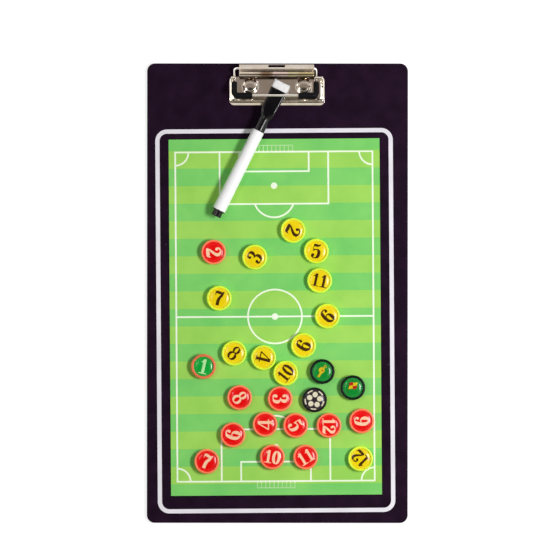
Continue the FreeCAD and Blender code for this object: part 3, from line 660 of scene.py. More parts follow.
def makeJaw():
    # a round wire carried along bars, legs and bends, and a sleeve on each front corner of it
    s, sleeve = SimpleNamespace(**wireShape), SimpleNamespace(**sleeveShape)
    bendY, bendZ = legLine()
    legs = [(s.rearReach, s.rearRise), (bendY, bendZ), (-s.jawReach, s.jawRise)]

    def place(x, leg):
        return (x, hingeY + leg[0], hingeZ + leg[1])

    middle = (jawLeft + jawRight) / 2
    corners = [place(middle - s.gap, legs[0])] + [place(jawLeft, leg) for leg in legs]
    corners += [place(jawRight, leg) for leg in legs[::-1]] + [place(middle + s.gap, legs[0])]
    turns = [s.rearCorner, s.bend, s.jawCorner]
    path = bentLine(corners, [0] + turns + turns[::-1] + [0], steps=14)
    wire = gridPatch(tubeGrid(path, wireRadius, 28), caps="both")
    makePiece("jaw_wire_bent", "jaw", [wire], [wireNickel], ["jaw_wire"])

    rubber = plasticFinish("sleeve_rubber", sleeveLook)
    far = math.hypot(s.jawReach, s.jawRise)
    onLeg = math.sqrt(far**2 - s.bend**2) - math.sqrt(sleeve.lugGap**2 - s.bend**2)
    rise = unit(np.array([0, bendY + s.jawReach, bendZ - s.jawRise]))
    lip = sleeve.lipRound
    quarter = lip * (1 - np.cos(np.linspace(0, np.pi / 2, 6)))
    for side, name, x in ((-1, "left", jawLeft), (1, "right", jawRight)):
        corner = np.array(place(x, legs[2]))
        end = corner - [side * sleeve.barLength, 0, 0]
        line = bentLine([corner + rise * onLeg, corner, end], [0, s.jawCorner, 0], steps=16)
        # closer stations at both lips, where the radius rounds off by a quarter circle
        length = np.concatenate([[0], np.cumsum(np.linalg.norm(np.diff(line, axis=0), axis=1))])
        total = length[-1]
        stations = np.concatenate([quarter, np.linspace(lip, total - lip, 60)[1:-1], total - quarter[::-1]])
        dense = np.stack([np.interp(stations, length, line[:, k]) for k in range(3)], 1)
        inset = np.clip(1 - np.minimum(stations, total - stations) / lip, 0, 1)
        outer = tubeGrid(dense, sleeve.radius - lip * (1 - np.sqrt(1 - inset**2)), 32)
        shell = np.concatenate([outer, tubeGrid(dense, sleeve.bore, 32)[::-1]])
        makePiece("jaw_sleeve_rubber_" + name, "jaw", [gridPatch(shell, wrapRows=True)], [rubber],
                  ["jaw_sleeve_" + name])


leverShape = {"middle": -0.8, "length": 67.4, "sheet": 0.8, "bore": 1.08, "tail": 3.6, "tailDrop": 1.35,
              "tailReach": 0.6, "rollRadius": 3.0, "rollReach": 5.45, "rollCurl": (28, 335), "flangeReach": 0.5,
              "flangeLap": 0.1, "tubeWall": 0.42, "tubeGap": 0.3, "webReach": 1.55, "slotLength": 15.0,
              "slotWidth": 2.5, "slotRim": 0.4, "slotCorner": 0.5, "plateCorner": 0.35, "edgeShare": 0.35,
              "heelY": 0.45, "heelFoot": 3.8, "heelGap": 0.1, "edge": 0.22}


def sheetOutline(line, thickness):
    # both faces of a bent sheet, half the thickness to either side of its middle line, with round ends
    heading = unit(np.gradient(line, axis=0))
    across = leftOf(heading)
    half = thickness / 2
    turn = np.linspace(0, np.pi, 7)[1:-1, None]
    lastEnd = line[-1] + half * (np.cos(turn) * across[-1] + np.sin(turn) * heading[-1])
    firstEnd = line[0] - half * (np.cos(turn) * across[0] + np.sin(turn) * heading[0])
    return np.vstack([line + half * across, lastEnd, (line - half * across)[::-1], firstEnd])


def makeLever():
    s = SimpleNamespace(**leverShape)
    barY, barZ = hingeY + wireShape["rearReach"], hingeZ + wireShape["rearRise"]
    low, high = s.middle - s.length / 2, s.middle + s.length / 2
    half = s.sheet / 2
    crest = barZ + s.bore + half                 # middle of the sheet over the rear bar
    rollY, rollZ = barY - s.rollReach, barZ + s.bore + 1.5 * s.sheet - s.rollRadius
    slotRear = barY + s.tail - s.slotRim
    slotFront = slotRear - s.slotWidth

    def slopeAt(y):
        return crest - s.tailDrop * (y - barY) / s.tail

    # the sheet runs from the slot up over the bar, and a web in the groove before it leads to the roll
    curl = np.radians(np.linspace(*s.rollCurl, 48))
    rollMiddle = s.rollRadius - half
    roll = np.stack([rollY + rollMiddle * np.cos(curl), rollZ + rollMiddle * np.sin(curl)], 1)
    flangeY = np.linspace(slotFront - s.flangeLap, barY - s.flangeReach, 8)
    flange = np.stack([flangeY, slopeAt(flangeY)], 1)
    webY = np.linspace(barY - s.webReach, rollY + rollMiddle, 6)
    web = np.stack([webY, np.full(6, barZ)], 1)
    patches = []
    for line, finish in ((flange, 0), (web, 0), (roll, 1)):
        strip = slabGrid(sheetOutline(line, s.sheet)[::-1], low, high, s.edge)
        patches.append(gridPatch(strip, caps="both", finish=finish))

    # the tail is a plate with the hanging slot, a ring whose section runs from the slot's edge to the plate's edge
    tailFront, tailRear = slotFront - s.tailReach, barY + s.tail
    slot = loopsAt(s.slotLength / 2, s.slotWidth / 2, s.slotCorner, [0], 8)[0]
    slot = slot + [s.middle, (slotFront + slotRear) / 2]
    plate = loopsAt(s.length / 2, (tailRear - tailFront) / 2, s.plateCorner, [0], 8)[0]
    plate = plate + [s.middle, (tailFront + tailRear) / 2]
    # across the ring: 0 at the slot and 1 at the rim, each edge a part round of the sheet's thickness
    turn = np.linspace(0, np.pi, 7)
    share = np.repeat([0.0, 1.0], 7)
    push = s.edgeShare * half * np.tile(np.sin(turn), 2) * (1 - 2 * share)
    lift = half * np.concatenate([-np.cos(turn), np.cos(turn)])
    flat = slot[None] + share[:, None, None] * (plate - slot)[None] + push[:, None, None] * unit(plate - slot)[None]
    height = slopeAt(flat[..., 1:2]) + lift[:, None, None]
    patches.append(gridPatch(np.concatenate([flat, height], -1), wrapRows=True))

    # to either side of the slot a tube round the rear bar carries the lever, and a heel props it off the board
    outer = s.bore + s.tubeWall
    heelY, heelTop = barY + s.heelY, barZ - s.bore - s.heelGap
    heel = [(heelY - half, s.heelFoot), (heelY + half, s.heelFoot), (heelY + half, heelTop), (heelY - half, heelTop)]
    heel = bentLine(heel, [half * 0.9, half * 0.9, 0.05, 0.05], closed=True, steps=6)
    slotHalf = s.slotLength / 2 + s.tubeGap
    for start, end in ((low, s.middle - slotHalf), (s.middle + slotHalf, high)):
        tube = [(s.bore, start), (outer, start), (outer, end), (s.bore, end)]
        tube = bentLine(tube, [0.05, 0.15, 0.15, 0.05], closed=True, steps=5)
        patches.append(gridPatch(lyingGrid(tube, barY, barZ, 48), wrapRows=True))
        patches.append(gridPatch(slabGrid(heel, start, end, s.edge), caps="both"))
    makePiece("clip_lever_rolled", "lever", patches, [nickel, rollNickel], ["clip_lever"], crease=45)


makeTray()
makeRivets()
makeJaw()
makeLever()
print("clip built")


# marker: cap with felt block under the jaw, white barrel with end plug

markerShape = {"eraserMiddle": 44.9, "mouthGap": 0.15, "lipAlong": (0.0, 0.06, 0.2), "lipInset": (0.22, 0.06, 0.0),
               "skirtRadius": 5.1, "skirtEnd": 12.4, "shoulderEnd": 18.4, "headEnd": 41.0, "headRound": 0.6,
               "footHalf": (6.7, 5.7), "topHalf": (7.75, 5.7), "squareness": 5.6, "squareReach": 4.0,
               "boreRadius": 4.3, "boreFlare": 0.15, "boreEnd": 22.0, "barrelEnd": -79.6, "barrelMouth": -0.05,
               "barrelFront": 5.5, "barrelRear": 6.0, "barrelBore": 4.3, "collarEnd": -80.7, "stubEnd": -85.9,
               "stubRadius": 4.4, "spigot": 8.0, "dishRim": (1.1, 1.5), "dishDepth": 0.7}
capLook = {"colour": colour(13, 12, 14), "rough": 0.13, "grain": 1300.0, "vary": 0.15, "shine": 0.3,
           "dustScale": 240.0, "dustColour": colour(80, 78, 78)}
barrelLook = {"colour": colour(248, 248, 250), "rough": 0.3, "grain": 1200.0, "vary": 0.02, "bump": 0.05, "dust": 0.1,
              "dustColour": colour(205, 204, 200)}
inkLook = {"colour": colour(20, 20, 24), "rough": 0.7, "grain": 2600.0, "vary": 0.3, "bump": 0.4, "dust": 0.0,
           "scratches": 0.0}
slideJoint = next(joint for joint in frame["joints"] if joint["name"] == "marker_slide")
markerWay = -unit(np.array(slideJoint["axis"], float))          # along the pen, towards the eraser
markerSide = np.cross(markerWay, [0, 0, 1])
eraserLow, eraserHigh = nodeBox("marker_eraser")
markerMouth = (eraserLow + eraserHigh) / 2 - markerShape["eraserMiddle"] * markerWay


def layMarker(points):
    # across, up and along the pen become the board's own X, Y and Z
    return markerMouth + points[..., :1] * markerSide + points[..., 1:2] * [0, 0, 1] + points[..., 2:] * markerWay


def superSection(halfWide, halfHigh, power, along, around=160):
    # superellipse rings: power 2 is an ellipse, and larger powers come near a round-cornered box
    c, s = circle(around).T[:, None]
    wide, high, p, z = (np.asarray(v, float)[:, None] for v in (halfWide, halfHigh, power, along))
    size = (np.abs(c) ** p + np.abs(s) ** p) ** (-1 / p)
    return np.stack([wide * c * size, high * s * size, np.broadcast_to(z, size.shape)], -1)


def makeCap():
    # rings along the pen: round skirt, S-shaped shoulder, widening head that grows squarer, rounded end
    s = SimpleNamespace(**markerShape)
    headStart = s.headEnd - s.headRound
    along = np.concatenate([s.mouthGap + np.array(s.lipAlong), np.linspace(1.0, s.skirtEnd, 10),
                            np.linspace(s.skirtEnd, s.shoulderEnd, 14)[1:],
                            np.linspace(s.shoulderEnd, headStart, 20)[1:]])
    shoulder = smoothStep(along, s.skirtEnd - 0.2, s.shoulderEnd)
    head = np.clip((along - s.shoulderEnd) / (s.headEnd - s.shoulderEnd), 0, 1)
    wide = s.skirtRadius + (s.footHalf[0] - s.skirtRadius) * shoulder + (s.topHalf[0] - s.footHalf[0]) * head
    high = s.skirtRadius + (s.footHalf[1] - s.skirtRadius) * shoulder
    power = 2 + s.squareness * smoothStep(along, s.skirtEnd, s.shoulderEnd + s.squareReach)
    lip = np.concatenate([s.lipInset, np.zeros(len(along) - 3)])
    turn = np.linspace(0, np.pi / 2, 6)[1:]
    endInset = s.headRound * (1 - np.cos(turn))
    along = np.concatenate([along, headStart + s.headRound * np.sin(turn)])
    wide = np.concatenate([wide - lip, s.topHalf[0] - endInset])
    high = np.concatenate([high - lip, s.topHalf[1] - endInset])
    outer = superSection(wide, high, np.concatenate([power, np.full(5, power[-1])]), along)
    # the bore's rings come first, from its end to the mouth, so that the mouth joins bore and skirt
    radius = s.boreRadius + np.array([0.0, 0.0, s.boreFlare])
    inner = superSection(radius, radius, [2, 2, 2], [s.boreEnd, s.mouthGap + 0.2, s.mouthGap])
    cap = gridPatch(layMarker(np.concatenate([inner, outer])), caps="both")
    makePiece("marker_cap_moulded", "cap", [cap], [plasticFinish("cap_plastic", capLook)], ["marker_cap"])


def makeBarrel():
    s = SimpleNamespace(**markerShape)
    tube = bentLine([(s.barrelBore, s.barrelEnd), (s.barrelRear, s.barrelEnd), (s.barrelFront, s.barrelMouth),
                     (s.barrelBore, s.barrelMouth)], [0.1, 0.35, 0.45, 0.1], closed=True, steps=6)
    tube = gridPatch(layMarker(latheGrid(tube, 0, 0, 72)), wrapRows=True)
    makePiece("marker_barrel_tube", "pen", [tube], [plasticFinish("barrel_plastic", barrelLook)],
              ["marker_barrel"])
    # plug: spigot in the bore, thin collar, stub with a dished end
    fit, collar, seat = s.barrelBore - 0.05, s.barrelRear - 0.02, s.barrelEnd - 0.02
    dish = s.stubEnd + s.dishDepth
    plug = bentLine([(0, s.barrelEnd + s.spigot), (fit, s.barrelEnd + s.spigot), (fit, seat), (collar, seat),
                     (collar, s.collarEnd), (s.stubRadius, s.collarEnd), (s.stubRadius, s.stubEnd),
                     (s.stubRadius - s.dishRim[0], s.stubEnd), (s.stubRadius - s.dishRim[1], dish), (0, dish)],
                    [0, 0.3, 0.05, 0.1, 0.4, 0.25, 0.5, 0.3, 0.3, 0], steps=6)
    plug = gridPatch(layMarker(latheGrid(plug, 0, 0, 72)))
    makePiece("marker_plug_moulded", "pen", [plug], [plasticFinish("plug_plastic", capLook)],
              ["marker_end_plug"])


feltShape = {"halfWide": 7.35, "halfHigh": 5.2, "foot": 41.02, "end": 48.6, "round": 0.9, "power": 9.0, "waves": 24,
             "waveRate": 2.2, "ripple": 0.3, "fibres": 1500, "fibreLength": (0.35, 0.9), "fibreRadius": 0.035,
             "fibreTaper": (1, 0.9, 0.4), "fibreLift": 0.45, "fibreBend": 0.12, "fibreRoot": 0.1, "endLift": 1.5,
             "seed": 7}
feltLook = {"low": colour(226, 226, 227), "high": colour(252, 252, 251), "stain": colour(205, 206, 210)}


def feltFinish():
    # pressed wool: tangled fibre noise in colour and bump, a little grey where it has wiped
    finish, tree, shader, spot = newFinish("white_felt")
    tangle = noise(tree, spot, 2600.0, detail=5.0, distortion=2.5)
    cloud = useGroup(tree, grainGroup, spot, Scale=4200.0)["Tone"]
    base = mixColour(tree, mapRange(tree, tangle, 0.3, 0.65), feltLook["low"], feltLook["high"])
    wiped = maths(tree, "MULTIPLY", mapRange(tree, cloud, 0.55, 0.75), 0.5)
    tree.links.new(mixColour(tree, wiped, base, feltLook["stain"]), shader.inputs["Base Color"])
    shader.inputs["Roughness"].default_value = 0.95
    shader.inputs["Sheen Weight"].default_value = 0.4
    linkBump(tree, shader, tangle, strength=0.8, distance=0.0004)
    return finish


def makeFelt():
    # a soft-edged block whose rings ripple by a sum of waves, with loose fibres standing on it
    s = SimpleNamespace(**feltShape)
    draws = np.random.default_rng(s.seed)
    turn = np.linspace(0, np.pi / 2, 7)
    falling, rising = s.round * (1 - np.sin(turn)), s.round * (1 - np.cos(turn))
    along = np.concatenate([s.foot + rising, np.linspace(s.foot, s.end, 22)[3:-3], s.end - falling])
    inset = np.concatenate([falling, np.zeros(16), rising])
    rings = superSection(s.halfWide - inset, s.halfHigh - inset, np.full(len(along), s.power), along, 128)
    waves = draws.normal(size=(s.waves, 3)) * s.waveRate
    phase = draws.uniform(0, 2 * np.pi, s.waves)
    ripple = np.sin(rings @ waves.T + phase).sum(-1) / s.waves * s.ripple
    outward = unit(rings * [1, 1, 0])
    rings = rings + ripple[..., None] * outward
    block = gridPatch(layMarker(rings), caps="both")

    # each fibre is a thin three-sided tube of three rings, bent over from where it roots
    count = s.fibres
    row = draws.integers(6, len(along) - 1, count)
    column = draws.integers(0, rings.shape[1], count)
    root = rings[row, column]
    nearEnd = (along[row] > s.end - s.round)[:, None]
    lift = unit(outward[row, column] + nearEnd * np.array([0, 0, s.endLift]))
    drift = unit(draws.normal(size=(count, 3)))
    length = draws.uniform(*s.fibreLength, count)[:, None]
    tip = root + length * unit(s.fibreLift * lift + drift)
    tip = tip + np.maximum(0, ((root - tip) * lift).sum(1))[:, None] * lift
    bend = (root + tip) / 2 + s.fibreBend * lift
    spine = np.stack([root - s.fibreRoot * lift, bend, tip], 1)
    heading = unit(tip - root)
    normal = unit(np.cross(heading, draws.normal(size=(count, 3))))
    side = np.cross(heading, normal)
    across, up = circle(3).T[:, None, :, None]
    ring = across * normal[:, None] + up * side[:, None]
    radii = s.fibreRadius * np.array(s.fibreTaper)[None, :, None, None]
    points = layMarker(spine[:, :, None] + radii * ring[:, None]).reshape(-1, 3)
    single = gridPatch(np.zeros((3, 3, 3)), caps="both")[1]
    faces = [[start + corner for corner in quad] for start in range(0, 9 * count, 9) for quad in single]
    makePiece("marker_felt_block", "cap", [block, (points, faces, 0)], [feltFinish()],
              ["marker_eraser"], crease=70)


makeCap()
makeBarrel()
makeFelt()
dressNode("marker_nose", plasticFinish("nose_plastic", barrelLook))
dressNode("marker_nib", plasticFinish("nib_fibre", inkLook))
dressNode("ink_reservoir", plasticFinish("reservoir_fibre", inkLook))
print("marker built")


# counters: cup with magnet, printed face, clear dome

counterShape = {"foot": 10.7, "rim": 1.9, "wideRim": 2.4, "rimGap": 0.08, "faceDrop": 1.3, "height": 6.0,
                "rimRound": 0.8, "wellRound": 0.45, "footRound": 0.3, "labelLow": 0.02, "labelHigh": 0.25,
                "inkLow": 0.24, "inkHigh": 0.27, "inkStep": 0.006, "domeGap": 0.05, "domeLow": 0.12, "domeEdge": 1.0,
                "domeCrown": 2.3, "domeFoot": 0.05, "magnetRadius": 7.5, "magnetHeight": 3.0, "magnetGap": 0.02,
                "pocketGap": 0.05}
wideRimmed = ("green", "black")
teamLooks = {
    "yellow": {"cup": colour(219, 247, 50), "face": colour(240, 213, 3), "ink": colour(66, 40, 3),
               "slot": "counter_yellow"},
    "red": {"cup": colour(253, 128, 84), "face": colour(232, 2, 2), "ink": colour(255, 206, 170),
            "slot": "counter_red"},
    "green": {"cup": colour(224, 112, 68), "face": colour(3, 164, 54), "ink": colour(182, 234, 164),
              "slot": "counter_green"},
    "black": {"cup": colour(5, 24, 11), "face": colour(3, 136, 44), "ink": colour(212, 182, 26),
              "slot": "counter_black", "shine": 0.2},
    "ball": {"cup": colour(12, 13, 12), "face": colour(44, 36, 42), "ink": colour(226, 218, 190),
             "slot": "counter_black", "shine": 0.2},
}
cupLook = {"rough": 0.3, "vary": 0.05, "scratches": 0.2, "dust": 0.08}
ferriteLook = {"colour": colour(52, 50, 50), "rough": 0.6, "grain": 2400.0, "vary": 0.25, "bump": 0.3,
               "scratches": 0.3}
domeLook = {"rough": 0.18, "bend": 1.33, "clear": (0.96, 0.96, 0.96, 1.0)}
inkRough = 0.35
faceTone = {"low": 0.94, "high": 1.04, "mottle": 1600.0}
inkTone = {"low": 0.92, "high": 1.05, "mottle": 2000.0}
flagLooks = {"red": colour(180, 36, 22), "yellow": colour(218, 192, 22), "pole": colour(60, 58, 30)}

# numeral or figure, team, and how far it is turned, clockwise in degrees; the teams are numbered from 2
teamTurns = {"yellow": (117, -62, 104, 11, -50, 10, 43, 115, -52, 12, -135),
             "red": (84, 88, -90, 59, -78, 20, 57, 90, 9, -32, 90)}
counterPlay = {team + "_" + str(number): (str(number), team, turn)
               for team, turns in teamTurns.items() for number, turn in enumerate(turns, 2)}
counterPlay.update(green_1=("1", "green", 13), whistle=("whistle", "black", 0), flag=("flag", "black", 0),
                   ball=("pentagons", "ball", 0))

# numerals in a heavy face with thin joins: height 1, middle at 0; a pen stroke is thick where it runs upright,
# a taper thins at both ends, a lead at its start only, a loop is a closed oval (half width, half height, weight),
# a bar has its own width at start, middle and end, and a ball ends a stroke
penShape = {"stem": 0.225, "hair": 0.06, "sharpness": 1.3, "taper": 0.26, "taperPower": 1.2, "advance": 0.64}
numeralHeight = {1: 13.0, 2: 11.3}
numeralStrokes = {
    "0": [("loop", (0, 0.5), (0.215, 0.475, 1.0))],
    "1": [("bar", [(0.02, 0.0), (0.02, 1.0)], 0.2), ("bar", [(-0.25, 0.03), (0.29, 0.03)], 0.065),
          ("bar", [(-0.2, 0.79), (-0.08, 0.83), (0.0, 0.95)], (0.05, 0.1, 0.1))],
    "2": [("ball", (-0.18, 0.735), 0.1),
          ("taper", [(-0.275, 0.75), (-0.2, 0.91), (-0.02, 0.975), (0.17, 0.88), (0.195, 0.68), (0.03, 0.46),
                     (-0.17, 0.25), (-0.28, 0.06)], None),
          ("bar", [(-0.3, 0.08), (-0.02, 0.11), (0.25, 0.1)], (0.1, 0.22, 0.2)),
          ("bar", [(0.2, 0.07), (0.28, 0.15), (0.33, 0.29)], (0.14, 0.1, 0.03))],
    "3": [("ball", (-0.18, 0.77), 0.095), ("ball", (-0.19, 0.22), 0.105),
          ("taper", [(-0.27, 0.79), (-0.18, 0.925), (0.0, 0.975), (0.155, 0.88), (0.165, 0.7), (0.06, 0.57),
                     (-0.06, 0.53)], None),
          ("taper", [(-0.06, 0.53), (0.1, 0.49), (0.195, 0.37), (0.195, 0.2), (0.08, 0.05), (-0.08, 0.025),
                     (-0.22, 0.08), (-0.29, 0.21)], None)],
    "4": [("bar", [(0.12, 0.0), (0.12, 1.0)], 0.19), ("bar", [(-0.08, 0.025), (0.28, 0.025)], 0.05),
          ("bar", [(-0.38, 0.265), (0.34, 0.265)], 0.075),
          ("bar", [(0.06, 0.98), (-0.36, 0.27)], (0.085, 0.075, 0.085))],
    "5": [("ball", (-0.19, 0.205), 0.105),
          ("bar", [(-0.2, 0.9), (-0.04, 0.885), (0.12, 0.9), (0.24, 0.98)], (0.16, 0.16, 0.03)),
          ("bar", [(-0.2, 0.97), (-0.215, 0.49)], 0.05),
          ("taper", [(-0.215, 0.5), (-0.1, 0.6), (0.03, 0.62), (0.16, 0.53), (0.2, 0.33), (0.12, 0.1), (-0.04, 0.025),
                     (-0.2, 0.07), (-0.29, 0.2)], None)],
    "6": [("ball", (0.18, 0.785), 0.095),
          ("taper", [(0.265, 0.81), (0.18, 0.93), (0.03, 0.975), (-0.13, 0.86), (-0.215, 0.52), (-0.18, 0.2),
                     (0.0, 0.025), (0.15, 0.1), (0.2, 0.3), (0.15, 0.5), (0.01, 0.58), (-0.13, 0.5)], None)],
    "7": [("bar", [(-0.27, 0.89), (-0.12, 0.905), (0.03, 0.87), (0.16, 0.88), (0.28, 0.97)], (0.15, 0.18, 0.03)),
          ("bar", [(-0.27, 0.97), (-0.275, 0.7)], (0.05, 0.05, 0.04)),
          ("lead", [(0.28, 0.97), (0.14, 0.7), (0.0, 0.47), (-0.05, 0.22), (-0.05, 0.0)], None)],
    "8": [("loop", (0, 0.755), (0.175, 0.22, 0.62)), ("loop", (0, 0.275), (0.22, 0.25, 0.74))],
}
# the nine is the six, half turned
numeralStrokes["9"] = [(kind, [0.0, 1.0] - np.array(points), size) for kind, points, size in numeralStrokes["6"]]


def discSides(x, y, radius):
    # upper and lower half of a circle, short of the points where they would meet
    turn = np.linspace(0.02, np.pi - 0.02, 18)
    across, up = x + radius * np.cos(turn), radius * np.sin(turn)
    return np.stack([across, y + up], 1), np.stack([across, y - up], 1), False


def strokeSides(stroke):
    # middle line of a stroke and its width at each point, then the two sides half a width off it
    pen = SimpleNamespace(**penShape)
    kind, points, size = stroke
    if kind == "ball":
        return discSides(*points, size)
    closed = kind == "loop"
    if closed:
        line = np.array(points) + size[:2] * circle(40)
        heading = unit(np.roll(line, -1, 0) - np.roll(line, 1, 0))
    else:
        line = smoothLine(points, 10)
        heading = unit(np.gradient(line, axis=0))
    share = np.linspace(0, 1, len(line))
    if kind == "bar":
        start, middle, end = np.broadcast_to(size, 3)
        width = start * (1 - share) * (1 - 2 * share) + 4 * middle * share * (1 - share) + end * share * (2 * share - 1)
    else:
        swell = np.abs(heading[:, 1]) ** pen.sharpness * (size[2] if closed else 1.0)
        if not closed:
            swell = swell * np.clip(share / pen.taper, 0, 1) ** pen.taperPower
        if kind == "taper":
            swell = swell * np.clip((1 - share) / pen.taper, 0, 1) ** pen.taperPower
        width = pen.hair + (pen.stem - pen.hair) * swell
    across = leftOf(heading) * width[:, None] / 2
    return line + across, line - across, closed


def inkSlab(left, right, closed, low, high, finish):
    # a thin raised film of ink between the two sides of a stroke
    sides = np.stack([left, right, right, left], 1)
    level = np.broadcast_to(np.array([high, high, low, low])[None, :, None], sides.shape[:2] + (1,))
    grid = np.concatenate([sides, level], -1)
    return gridPatch(grid, wrapRows=closed, caps="" if closed else "both", finish=finish)


def numeralStrips(text):
    # digits side by side about the middle, as sides of strokes in millimetres
    size = numeralHeight[len(text)]
    strips = []
    for place, digit in enumerate(text):
        shift = np.array([penShape["advance"] * (place + 0.5 - len(text) / 2), -0.5])
        for stroke in numeralStrokes[digit]:
            left, right, closed = strokeSides(stroke)
            strips.append(((left + shift) * size, (right + shift) * size, closed, 1))
    return strips


def thickLine(points, width, finish=1):
    line = smoothLine(points, 8)
    across = leftOf(unit(np.gradient(line, axis=0))) * width / 2
    return line + across, line - across, False, finish


def whistleStrips():
    # round chamber, square mouthpiece to the lower left, ring and its link to the upper right
    ring = ((2.6, 4.4) + 1.3 * circle(32), (2.6, 4.4) + 0.75 * circle(32), True, 1)
    return [(*discSides(-0.5, 1.2, 2.7), 1), thickLine([(-0.3, -0.2), (-2.4, -3.0), (-3.6, -4.8)], 1.9), ring,
            thickLine([(1.0, 2.7), (1.9, 3.6)], 0.9), thickLine([(-0.6, 1.6), (0.9, 0.2)], 0.7, 2)]


def flagStrips():
    # two by two quarters of a waving cloth: height follows a sine along the width
    wide, high, left, top = 3.8, 2.9, -3.4, 4.6          # of one quarter, and where the cloth begins
    slant = 0.35
    strips = []
    for column in (0, 1):
        for row in (0, 1):
            x = np.linspace(0, 1, 14) * wide + column * wide + left
            wave = 0.8 * np.sin((x - left) / (2 * wide) * 2 * np.pi) + 0.25 * x
            y = top - row * high + wave * 0.6
            upper = np.stack([x - slant * row, y], 1)
            strips.append((upper, upper - [slant, high], False, 1 if row == column else 2))
    strips.append(thickLine([(-3.2, 4.5), (-4.0, -1.2), (-4.9, -4.8)], 0.45, 3))
    return strips


def ballStrips():
    # five rounded patches about a middle pentagon, and five strokes along the rim between them
    patchAt, patchRadius, rimAt, rimHalf, rimWidth, firstTurn = 4.7, 2.35, 8.3, 17, 1.1, 83
    strips = []
    for number in range(5):
        angle = math.radians(firstTurn + 72 * number)
        strips.append((*discSides(patchAt * math.cos(angle), patchAt * math.sin(angle), patchRadius), 1))
        rim = angle + math.radians(36) + np.radians(np.linspace(-rimHalf, rimHalf, 5))
        strips.append(thickLine(rimAt * np.stack([np.cos(rim), np.sin(rim)], 1), rimWidth))
    return strips


def domeFinish():
    # clear cast resin: lamps pass straight through it, faint scratches dull it here and there
    finish, tree, shader, spot = newFinish("clear_dome")
    lines = useGroup(tree, scratchGroup, spot, Scale=120.0, Width=0.003, Amount=0.2)["Mask"]
    tone = useGroup(tree, grainGroup, spot, Scale=600.0)["Tone"]
    linkRoughness(tree, shader, domeLook["rough"], tone, vary=0.02, marks=lines, dull=0.04)
    shader.inputs["Base Color"].default_value = (1.0, 1.0, 1.0, 1.0)
    shader.inputs["Transmission Weight"].default_value = 1.0
    shader.inputs["IOR"].default_value = domeLook["bend"]
    clear = addNode(tree, "BsdfTransparent", {"Color": domeLook["clear"]})
    path = addNode(tree, "LightPath").outputs
    straight = maths(tree, "MAXIMUM", path["Is Shadow Ray"], path["Is Diffuse Ray"])
    both = addNode(tree, "MixShader", {0: straight, 1: shader.outputs[0], 2: clear.outputs[0]})
    tree.links.new(both.outputs[0], tree.nodes["Material Output"].inputs["Surface"])
    return finish


def inkFinish(name, tint, low, high, mottle):
    return printFinish(name, shaded(tint, low), shaded(tint, high), inkRough, mottle)


def makeCounters():
    s = SimpleNamespace(**counterShape)
    magnet, dome = plasticFinish("ferrite", ferriteLook), domeFinish()
    cups, faces, inks = {}, {}, {}
    for team, look in teamLooks.items():
        cups[team] = plasticFinish("cup_" + team, dict(cupLook, colour=look["cup"], shine=look.get("shine", 0.5)))
        faces[team] = inkFinish("face_" + team, look["face"], **faceTone)
        inks[team] = [inkFinish("ink_" + team, look["ink"], **inkTone)]
    flagInks = {name: inkFinish("flag_" + name, tint, **inkTone) for name, tint in flagLooks.items()}
    figures = {"whistle": whistleStrips, "flag": flagStrips, "pentagons": ballStrips}
    figureInks = {"whistle": inks["black"] + [flagInks["pole"]], "flag": list(flagInks.values())}
    for name, (text, team, turn) in counterPlay.items():
        node, slot = "counter_" + name, teamLooks[team]["slot"]
        low, high = nodeBox(node)
        x, y = ((low + high) / 2)[:2]
        base, wide = low[2], (high[0] - low[0]) / 2
        top = base + s.height
        face = top - s.faceDrop
        well = wide - (s.wideRim if team in wideRimmed else s.rim)
        reach = well - s.rimGap
        # cup: face, well wall, rounded rim, leaning side, foot, and the pocket for the magnet
        pocket, ceiling = s.magnetRadius + s.pocketGap, base + s.magnetHeight
        cup = lathePatch([(0, face), (well, face), (well, top), (wide, top), (s.foot, base), (pocket, base),
                          (pocket, ceiling), (0, ceiling)],
                         [0, 0.1, s.wellRound, s.rimRound, s.footRound, 0.1, 0.1, 0], x, y, 72, steps=7)
        under, over = base + s.magnetGap, ceiling - s.magnetGap
        ferrite = lathePatch([(0, under), (s.magnetRadius, under), (s.magnetRadius, over), (0, over)],
                             [0, 0.3, 0.3, 0], x, y, 48, finish=1)
        makePiece(node + "_cup", node, [cup, ferrite], [cups[team], magnet], [node], crease=45)
        # face: printed disc with the numeral or figure as a film of ink on it
        under, over = face + s.labelLow, face + s.labelHigh
        patches = [lathePatch([(0, under), (reach, under), (reach, over), (0, over)], [0, 0.05, 0.1, 0], x, y, 64)]
        strips = figures[text]() if text in figures else numeralStrips(text)
        angle = -math.radians(turn)
        spin = np.array([[math.cos(angle), math.sin(angle)], [-math.sin(angle), math.cos(angle)]])
        for number, (left, right, closed, finish) in enumerate(strips):
            # each film of ink ends a little over the one before, so that no two faces share a plane
            patches.append(inkSlab(left @ spin + [x, y], right @ spin + [x, y], closed, face + s.inkLow,
                                   face + s.inkHigh + number * s.inkStep, finish))
        makePiece(node + "_face", node, patches, [faces[team]] + figureInks.get(text, inks[team]))
        # dome: upright edge, and a crown that falls with the fourth power of the radius
        radius = well - s.domeGap
        share = np.sqrt(np.linspace(1, 0, 30))
        crown = np.stack([radius * share, face + s.domeCrown - (s.domeCrown - s.domeEdge) * share**4], 1)
        under = face + s.domeLow
        foot = np.array([[0, under], [radius - s.domeFoot, under], [radius, under + s.domeFoot]])
        shell = gridPatch(latheGrid(np.vstack([foot, crown]), x, y, 72))
        makePiece(node + "_dome", node, [shell], [dome], crease=50)


makeCounters()
print("counters built:", len(counterPlay))


# studio: pale floor, two soft lamps, a room with a dim patch overhead, camera over the board

